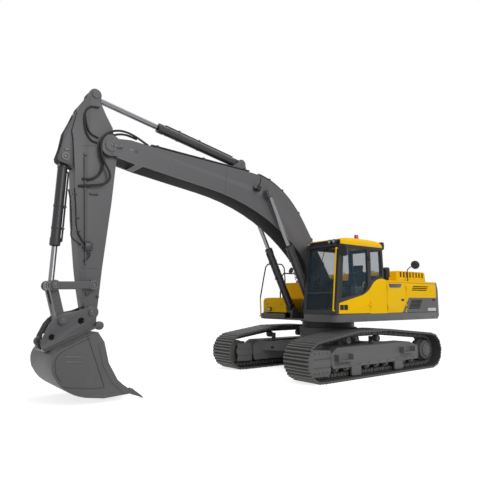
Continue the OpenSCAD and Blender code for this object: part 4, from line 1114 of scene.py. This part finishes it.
@dataclass
class Cab:
    """The cab with its door, panes and inside."""

    mid_y: float = 0.9565
    floor_z: float = 1.423
    foot_x: float = 1.345
    foot_z: float = 1.363
    lean: float = 0.11154
    roof_z: float = 2.905
    pane_y: float = 1.423

    def front(self, z: float) -> float:
        """Gives the windscreen's outer face at a height."""
        return self.foot_x - (z - self.foot_z) * self.lean

    def build(self) -> None:
        """Dresses the cab's solids and furnishes it."""
        dress(("cab_floor", MOULDED, 0.004), ("cab_frame", BLACK, 0.005), ("cab_panel", YELLOW, 0.003),
              ("cab_glass", GLASS, 0.0), ("cab_door", BLACK, 0.004), ("door_panel", YELLOW, 0.003),
              ("door_glass", GLASS, 0.0), ("controls", TRIM_GREY, 0.012), ("lamps", MOULDED, 0.004),
              ("beacon", RED, 0.004))
        brow = self.front(self.roof_z) - 0.040
        Dresser("cab_roof", (YELLOW, BLACK), 0.014, paint=lambda c: int(c.x > brow),
                cuts=(((brow, 0, 0), (1, 0, 0)),)).build()
        self.seat()
        self.inside()
        self.outside()

    def cushion(self, lo: Point, hi: Point, turn: float, crown: float) -> Shape:
        """Makes a crowned cushion with sides that pull in.

        Args:
            lo: Lowest corner.
            hi: Highest corner.
            turn: Backward turn about Y in degrees.
            crown: How far its faces stand out in the middle.

        Returns:
            The cushion's shape.
        """
        shape = Shape().box((-0.5, -0.5, -0.5), (0.5, 0.5, 0.5))
        bmesh.ops.subdivide_edges(shape.bm, edges=shape.bm.edges[:], cuts=7, use_grid_fill=True)
        size = Vector(hi) - Vector(lo)
        middle = (Vector(lo) + Vector(hi)) / 2
        thin = min(range(3), key=lambda i: size[i])
        wide = [i for i in range(3) if i != thin]
        for v in shape.bm.verts:
            a, b = (2 * v.co[i] for i in wide)
            full = (1 - a ** 4) * (1 - b ** 4)
            pull = 1.0 - 0.03 * (1 - a * a) - 0.03 * (1 - b * b)
            seam = 1.0 - 0.12 * math.exp(-((abs(b) - 0.55) / 0.07) ** 2)
            for i in wide:
                v.co[i] *= size[i] * pull
            v.co[thin] *= size[thin] * (0.72 * seam + 2 * crown / size[thin] * full)
        bmesh.ops.transform(shape.bm, matrix=Matrix.Translation(middle) @ tilt(turn), verts=shape.bm.verts)
        return shape

    def seat(self) -> None:
        """Makes the seat: base, two cushions and head rest."""
        y = self.mid_y
        base = Shape().box((0.05, y - 0.16, self.floor_z), (0.40, y + 0.16, 1.60))
        base.box((0.02, y - 0.20, 1.60), (0.45, y + 0.20, 1.74))
        for k in range(5):
            base.box((0.04 + 0.005 * k, y - 0.19 + 0.004 * k, 1.615 + 0.024 * k),
                     (0.43 - 0.005 * k, y + 0.21 - 0.004 * k, 1.625 + 0.024 * k))
        base.bevel(0.006).piece("seat_base", "upper", MOULDED, replaces="seat")
        for name, lo, hi, turn, crown in (
                ("seat_cushion", (0.01, y - 0.25, 1.745), (0.50, y + 0.25, 1.875), 0.0, 0.022),
                ("seat_back", (-0.055, y - 0.24, 1.86), (0.075, y + 0.24, 2.34), -10.5, 0.022),
                ("head_rest", (-0.105, y - 0.13, 2.345), (-0.015, y + 0.13, 2.50), -10.5, 0.016)):
            pad = self.cushion(lo, hi, turn, crown).piece(name, "upper", CLOTH)
            soft = pad.modifiers.new("rounded", "SUBSURF")
            soft.levels = soft.render_levels = 1

    def inside(self) -> None:
        """Adds grips, travel levers, monitor, grab rail, extinguisher and rear console."""
        floor = self.floor_z
        grips = Shape()
        for s in SIDES:
            y = self.mid_y + s * 0.33
            top = Vector((0.520, y, floor + 0.72))
            grips.rod(top - Vector((0.03, 0, 0.10)), top, 0.034, 0.040).ball(top, 0.040)
            grips.rod((0.485, y, floor + 0.555), (0.495, y, floor + 0.60), 0.055, 0.028)
            lever = [(x, self.mid_y + s * off, floor + z) for x, off, z in
                     ((1.02, 0.09, 0.05), (1.00, 0.09, 0.35), (0.92, 0.10, 0.62), (0.90, 0.13, 0.68))]
            grips.tube(smooth_path(lever), 0.012).ball(lever[-1], 0.028)
        grips.piece("grips_and_levers", "upper", MOULDED)
        screen = Shape().box((1.02, 0.56, 2.00), (1.05, 0.80, 2.16), tilt(-12))
        screen.rod((1.05, 0.68, 1.95), (1.16, 0.60, 1.80), 0.014)
        screen.bevel(0.006).piece("monitor", "upper", SCREEN)
        rail = [(0.225, 1.372, 2.075), (0.242, 1.340, 2.063), (0.275, 1.335, 1.945), (0.293, 1.340, 1.827),
                (0.300, 1.372, 1.815)]
        Shape().tube(smooth_path(rail, 4), 0.013).piece("inner_grab_rail", "upper", YELLOW)
        foot, shoulder, top, neck_from, neck_to = (Vector((0.44, 1.30, z)) for z in (1.440, 1.80, 1.84, 1.83, 1.88))
        bottle = Shape().rod(foot, shoulder, 0.055).rod(shoulder, top, 0.055, 0.022)
        bottle.bevel(0.008).piece("extinguisher", "upper", RED)
        neck = Shape().rod(neck_from, neck_to, 0.016).box((0.40, 1.29, 1.86), (0.50, 1.31, 1.885))
        neck.bevel(0.003).piece("extinguisher_head", "upper", MOULDED)
        wall = Shape().box((-0.40, 0.56, 1.425), (-0.30, 1.35, 2.10)).box((-0.30, 0.62, 1.425), (-0.14, 1.30, 1.80))
        wall.bevel(0.012).piece("rear_console", "upper", TRIM_GREY)

    def outside(self) -> None:
        """Adds lenses, wiper, door handle, vent bars and gaskets."""
        lens, rim = Shape(), Shape()
        for y in (0.598, 1.230, 1.360):
            x = self.front(self.roof_z) + 0.080
            lens.rod((x - 0.002, y, 2.953), (x + 0.004, y, 2.953), 0.038, 0.034)
            rim.ring((x - 0.004, y, 2.953), (1, 0, 0), 0.046, 0.037, 0.010)
        lens.piece("roof_lamp_lenses", "upper", LENS)
        rim.bevel(0.002).piece("roof_lamp_rims", "upper", MOULDED)
        arm = [(self.front(z) - off, y, z) for off, y, z in
               ((0.005, 1.04, 2.80), (0.010, 1.02, 2.78), (0.010, 0.86, 2.20))]
        x = self.front(2.30)
        wiper = Shape().tube(arm, 0.008).box((x - 0.020, 0.865, 2.02), (x - 0.008, 0.880, 2.56), tilt(-6.4))
        wiper.piece("wiper", "upper", MOULDED)
        grip = [(x, y, 1.930) for x, y in ((0.195, 1.450), (0.205, 1.468), (0.285, 1.468), (0.295, 1.450))]
        handle = Shape().box((0.185, 1.445, 1.905), (0.305, 1.452, 1.955)).tube(smooth_path(grip, 4), 0.008)
        handle.bevel(0.002).piece("door_handle", "cab_door", MOULDED)
        vent = Shape()
        for x in (0.937, 1.073):
            for z in (1.456 + 0.018 * k for k in range(6)):
                vent.box((x + 0.004, 1.433, z), (x + 0.124, 1.443, z + 0.007), tilt(25, "X"))
        vent.piece("door_vent_bars", "cab_door", MOULDED)
        self.gaskets()

    def gaskets(self) -> None:
        """Lays rubber strips around the door's pane and the pane behind it."""
        z0, z1 = self.foot_z, self.roof_z - 0.075
        door = [(self.front(z0 + 0.341) - 0.165, z0 + 0.341), (0.371, z0 + 0.467), (0.218, z0 + 0.615), (0.218, z1),
                (self.front(z1) - 0.160, z1)]
        rear = [(0.091, z0 + 0.745), (0.091, z1), (-0.290, z1), (-0.322, z0 + 1.130), (-0.312, z0 + 0.875),
                (-0.150, z0 + 0.865)]
        for name, body, outline in (("door_gasket", "cab_door", door), ("side_gasket", "upper", rear)):
            loop = [(x, self.pane_y, z) for x, z in outline + outline[:1]]
            strip = Shape()
            for a, b in zip(loop, loop[1:]):
                strip.rod(a, b, 0.007, segments=8)
            strip.piece(name, body, RUBBER)


@dataclass
class Boom:
    """The boom with its cylinders, pipes and lamp."""

    half: float = 0.265
    cylinder_y: float = 0.365
    pipe_y: tuple[tuple[str, float], ...] = (("inner", 0.150), ("outer", 0.205))
    lamp_at: Point = (3.100984, 1.076624, 0.350)

    def build(self) -> None:
        """Dresses the boom's solids and adds its details."""
        dress(("boom", GRAPHITE, 0.007), ("boom_lines", BLACK, 0.003), ("boom_cylinders", BARREL_AND_SEAM_SHADE, 0.005),
              ("arm_cylinder", BARREL_AND_SEAM_SHADE, 0.005))
        for node, eye in (("boom_rods", BOOM_PLANE.at(*BOOM_ROD_EYE)), ("arm_rod", ARM_ROD_EYE)):
            Dresser(node, (CHROME, GRAPHITE), 0.004, paint=eye_paint(eye, 0.112)).build()
        for s, name in NAMED_SIDES:
            y = s * self.cylinder_y
            BarrelTrim(f"boom_barrel_trim_{name}", "boom_barrels", Vector((0.880, y, 1.390)),
                       BOOM_PLANE.at(*BOOM_ROD_EYE, y), 1.694, 0.084, under=True).build()
        BarrelTrim("arm_barrel_trim", "arm_barrel", Vector((2.84059, 0.0, 4.71457)), ARM_ROD_EYE, 2.006, 0.092).build()
        self.welds()
        self.pins()
        self.lines()

    def welds(self) -> None:
        """Lays the weld beads on both side plates."""
        beads = Shape()
        for s in SIDES:
            y = s * (self.half + 0.001)
            beads.tube(straight((3.366, 4.525), (3.404, 3.900), y, 40), 0.006, 6)
            for r, place in ((0.104, BOOM_ROD_EYE), (0.194, (0, 0))):
                beads.ring(BOOM_PLANE.at(*place, y - s * 0.004), (0, s, 0), r + 0.008, r, 0.009, 40)
        beads.piece("boom_welds", "boom", GRAPHITE)

    def pins(self) -> None:
        """Adds pin keepers, cap bolts and the small bare plate at the tip."""
        keep, bolts = Shape(), Shape()
        outline = ((5.940, 4.500), (5.760, 4.515), (5.748, 4.440), (5.935, 4.420))
        for s in SIDES:
            y, way = s * (self.half + 0.024), (0, s, 0)
            keep.plate(outline, s * self.half, y + s * 0.012)
            bolts.bolts([(5.785, y + s * 0.012, 4.478), (5.960, y, 4.462)], way, 0.014, 0.014)
            bolts.bolts(circle(shifted(ARM_PIVOT, y), 0.080, (0.4, 1.7, 3.9, 5.4)), way, 0.011, 0.012)
        keep.bevel(0.004).piece("tip_pin_keepers", "boom", GRAPHITE)
        bolts.piece("boom_bolts", "boom", STEEL)
        plate = Shape().box((5.430, self.half, 4.420), (5.610, self.half + 0.004, 4.480), tilt(-2.5))
        plate.bevel(0.0015).piece("boom_bare_plate", "boom", BADGE)

    @staticmethod
    def back_line(off: float) -> list[tuple[float, float]]:
        """Follows the boom's back from its foot to the arm cylinder's foot.

        Args:
            off: Distance off the plate.

        Returns:
            Points along and above the boom.
        """
        foot, start, knee, end = (Vector(p) for p in ((-0.080, 0.170), (1.2862, 1.0329), (2.3160, 1.7129),
                                                      (3.2506, 1.3669)))
        line = [foot + (start - foot) * (0.14 + 0.86 * i / 12) for i in range(12)]
        line += [(1 - t) ** 2 * start + 2 * t * (1 - t) * knee + t * t * end for t in (i / 18 for i in range(17))]
        found = []
        for i, p in enumerate(line):
            way = (line[min(i + 1, len(line) - 1)] - line[max(i - 1, 0)]).normalized()
            found.append((p.x - off * way.y, p.y + off * way.x))
        return found

    def lines(self) -> None:
        """Adds the pipes on the boom's back, the lamp's lens and its lead."""
        for s, side in NAMED_SIDES:
            for row, y in self.pipe_y:
                pipe = Shape().tube([BOOM_PLANE.at(u, v, s * y) for u, v in self.back_line(0.045)], 0.019)
                pipe.piece(f"back_pipe_{row}_{side}", "boom", RUBBER)
        clips = Shape()
        line = self.back_line(0.022)
        for i in (3, 9, 15, 21, 25):
            (u, v), (n, m) = line[i:i + 2]
            turn = Matrix.Rotation(-math.atan2(m - v, n - u) - math.radians(BOOM_PLANE.turn), 4, "Y")
            for s in SIDES:
                c = BOOM_PLANE.at(u, v, s * 0.1775)
                clips.box(c - Vector((0.030, 0.062, 0.036)), c + Vector((0.030, 0.062, 0.046)), turn)
        clips.bevel(0.004).piece("back_pipe_clips", "boom", BARREL_AND_SEAM_SHADE)
        lamp, half = BOOM_PLANE.at(*self.lamp_at), Vector((0.003, 0.040, 0.048))
        lens = Shape().box(lamp - half, lamp + half, tilt(-BOOM_PLANE.turn))
        lens.bevel(0.002).piece("boom_lamp_lens", "boom", LENS)
        lead = [BOOM_PLANE.at(*p) for p in ((2.985, 1.10, 0.300), (2.97, 1.18, 0.283), (2.98, 1.34, 0.276),
                                            (3.02, 1.42, 0.262))]
        Shape().tube(smooth_path(lead), 0.008).piece("boom_lamp_lead", "boom", RUBBER)


@dataclass
class Arm:
    """The arm with its cylinder, links and pipes."""

    half: float = 0.165

    def build(self) -> None:
        """Dresses the arm's solids and adds its details."""
        dress(("arm", GRAPHITE, 0.006), ("arm_lines", GRAPHITE, 0.003), ("bucket_cylinder", BARREL_AND_SEAM_SHADE, 0.005),
              ("side_links", GRAPHITE, 0.006), ("power_link", GRAPHITE, 0.006))
        BarrelTrim("bucket_barrel_trim", "bucket_barrel", BUCKET_CYLINDER_FOOT, BUCKET_ROD_EYE, 1.546, 0.082,
                   under=True).build()
        Dresser("bucket_rod", (CHROME, GRAPHITE), 0.004, paint=eye_paint(BUCKET_ROD_EYE, 0.100)).build()
        self.welds()
        self.fittings()
        self.pins()
        self.bracket()

    def bracket(self) -> None:
        """Laps doubler plates on the bracket of the bucket cylinder and caps its pin."""
        outline = ((6.569, 5.032), (6.660, 4.794), (6.750, 4.593), (6.797, 4.309), (6.850, 4.120), (6.838, 4.060),
                   (6.790, 4.030), (6.590, 3.992), (6.560, 4.415), (6.560, 4.804))
        plates, caps = Shape(), Shape()
        for s in SIDES:
            plates.plate(outline, s * 0.1045, s * 0.124)
            caps.collar(shifted(BUCKET_CYLINDER_FOOT, s * 0.123), (0, s, 0), (0.068, 0.046, 0.014), (0.030, 0.012))
            caps.box((6.650, s * 0.121, 4.255), (6.745, s * 0.140, 4.283), tilt(8))
        plates.bevel(0.005).piece("cylinder_bracket_plates", "arm", GRAPHITE)
        caps.bevel(0.002).piece("cylinder_bracket_caps", "arm", STEEL)

    def welds(self) -> None:
        """Lays the weld beads on both side plates."""
        beads = Shape()
        for s in SIDES:
            y = s * (self.half + 0.001)
            for a, b in (((6.433, 4.385), (6.129, 4.438)), ((6.376, 2.211), (6.060, 2.211))):
                beads.tube(straight(a, b, y, 30), 0.005, 6)
            beads.ring(shifted(ARM_PIVOT, y - s * 0.004), (0, s, 0), 0.170, 0.161, 0.009, 40)
        beads.piece("arm_welds", "arm", GRAPHITE)

    def fittings(self) -> None:
        """Adds the valve block with its hose, and the hose clamps."""
        y = self.half
        block = Shape().box((6.215, y, 2.515), (6.345, y + 0.085, 2.645))
        block.box((6.240, y, 2.470), (6.300, y + 0.05, 2.520))
        for x in (6.260, 6.310):
            block.rod((x, y + 0.05, 2.640), (x, y + 0.05, 2.675), 0.020, segments=6)
        block.rod((6.340, y + 0.045, 2.580), (6.375, y + 0.045, 2.580), 0.022, segments=6)
        block.bevel(0.004).piece("arm_valve_block", "arm", BARREL_AND_SEAM_SHADE)
        hose = [(6.260, y + 0.05, 2.475), (6.255, y + 0.05, 2.42), (6.300, y + 0.03, 2.355), (6.350, y + 0.02, 2.330)]
        Shape().tube(smooth_path(hose, 5), 0.011).piece("valve_hose", "arm", RUBBER)
        clamps = Shape()
        for x0, z0, x1, z1 in ((6.510, 3.470, 6.590, 3.500), (6.450, 3.060, 6.530, 3.090), (6.425, 2.830, 6.510, 2.860),
                               (6.140, 3.515, 6.290, 3.550), (6.370, 4.200, 6.420, 4.245), (6.235, 1.735, 6.285, 1.795),
                               (6.050, 1.700, 6.095, 1.740)):
            clamps.box((x0, y, z0), (x1, y + 0.028, z1))
        clamps.bevel(0.003).piece("arm_clamps", "arm", BARREL_AND_SEAM_SHADE)

    def pins(self) -> None:
        """Adds the collars and bolts on the ends of the arm's pins and the links' pins."""
        bolts, ends = Shape(), Shape()
        for s in SIDES:
            way = (0, s, 0)
            bolts.bolts(circle(shifted(ARM_ROD_EYE, s * 0.187), 0.048, (0.7, 2.8, 4.9)), way, 0.009, 0.010)
            bolts.collar(shifted(LINK_PIVOT, s * 0.269), way, (0.044, 0.028, 0.012), (0.024, 0.016))
            ends.collar(shifted(BUCKET_ROD_EYE, s * 0.298), way, (0.054, 0.038, 0.012), (0.024, 0.014))
            ends.ring(shifted(LINK_PIVOT, s * 0.273), way, 0.074, 0.056, 0.014)
        bolts.piece("arm_bolts", "arm", STEEL)
        ends.bevel(0.002).piece("link_pin_collars", "side_links", STEEL)


@dataclass
class Bucket:
    """The coupler and the bucket."""

    half: float = 0.650
    teeth: int = 5
    boss: tuple[float, float] = (-0.020, -0.255)
    ram_u: tuple[float, float] = (0.700, 0.860)
    ram_v: float = -0.195
    pad: tuple[float, float] = (0.585, -0.5775)
    pad_reach: float = 0.140

    def build(self) -> None:
        """Dresses the coupler, the bucket and its teeth."""
        Dresser("coupler", (GRAPHITE,), 0.006).build()
        Dresser("bucket", (BUCKET_COAT,), 0.006, reshape=self.level_pad).build()
        Dresser("bucket_teeth", (BUCKET_COAT,), 0.008).build()
        self.adapters()
        self.coupler_fittings()

    def level_pad(self, co: Vector) -> Vector:
        """Lowers the plain pad on the bucket's side, where the two raised bars go.

        Args:
            co: A corner of the bucket.

        Returns:
            The corner's new place.
        """
        away = Vector(co) - SEAT_PLANE.at(*self.pad)
        if abs(co.y) > self.half + 0.002 and math.hypot(away.x, away.z) < self.pad_reach:
            return shifted(co, math.copysign(self.half, co.y))
        return co

    def adapters(self) -> None:
        """Adds the pins that hold the teeth, the weld beads, dark as painted shade along the joints, and the level bars
        on the sides.
        """
        pins, beads, bars = Shape(), Shape(), Shape()
        for i in range(self.teeth):
            y = (i / (self.teeth - 1) - 0.5) * 2 * (self.half - 0.065)
            for s in SIDES:
                p = SEAT_PLANE.at(-0.055, -1.500, y + s * 0.050)
                pins.rod(p, p + Vector((0, s * 0.009, 0)), 0.016, 0.013, segments=16)
                beads.tube([SEAT_PLANE.at(-0.040 + 0.060 * t / 8, -1.400, y + s * 0.056) for t in range(9)], 0.006, 6)
        seam = ((0.30, -0.30), (0.60, -0.30), (0.84, -0.32), (0.94, -0.42), (0.985, -0.58), (0.965, -0.72))
        edges = (((6.413, 1.166), (6.074, 0.255)), ((6.745, 0.323), (6.690, 0.314), (6.327, 0.262), (6.074, 0.250)))
        for y in (s * (self.half + 0.001) for s in SIDES):
            beads.tube(smooth_path([SEAT_PLANE.at(u, v, y) for u, v in seam]), 0.006, 6)
            for route in edges:
                beads.tube(smooth_path([(x, y, z) for x, z in route], 8), 0.006, 6)
            for x, z in ((6.585, 0.773), (6.581, 0.694)):
                bars.box((x - 0.150, y - 0.004, z - 0.010), (x + 0.150, y + 0.009, z + 0.010), tilt(-4))
        bars.bevel(0.003).piece("bucket_bars", "bucket", STEEL)
        pins.piece("tooth_pins", "bucket", STEEL)
        # The beads take the dark coat as painted shade along the bucket's joints.
        beads.piece("bucket_welds", "bucket", BARREL_AND_SEAM_SHADE)

    def coupler_fittings(self) -> None:
        """Adds the coupler's pin collars, front bosses and lock cylinder."""
        collars, ears = Shape(), Shape()
        for s in SIDES:
            for u, v, y, r in ((0.0, 0.0, 0.235, 0.050), (0.497, 0.085, 0.263, 0.038)):
                collars.collar(SEAT_PLANE.at(u, v, s * y), (0, s, 0), (r + 0.006, r - 0.010, 0.012), (0.024, 0.016))
            for y0, y1, r in ((0.204, 0.290, 0.072), (0.285, 0.300, 0.042)):
                ears.rod(SEAT_PLANE.at(*self.boss, s * y0), SEAT_PLANE.at(*self.boss, s * y1), r)
        collars.bevel(0.002).piece("coupler_pin_collars", "bucket", STEEL)
        ears.bevel(0.005).piece("coupler_front_bosses", "bucket", GRAPHITE)
        ram = Shape().rod(*(SEAT_PLANE.at(u, self.ram_v) for u in self.ram_u), 0.030)
        for u in self.ram_u:
            ram.rod(*(SEAT_PLANE.at(u, self.ram_v, y) for y in (-0.174, 0.174)), 0.024)
        ram.bevel(0.004).piece("coupler_ram", "bucket", BARREL_AND_SEAM_SHADE)


def main() -> None:
    """Builds the machine's sub-assemblies in order."""
    logging.basicConfig(level=logging.INFO, format="%(message)s")
    bpy.context.scene.view_settings.view_transform = "Standard"
    studio = Studio()
    studio.camera()
    for part in (Hoses(), Undercarriage(), UpperBody(), Cab(), Boom(), Arm(), Bucket()):
        part.build()
        LOG.info("%s done", type(part).__name__)
    studio.floor()
    studio.light()


if __name__ == "__main__":
    main()
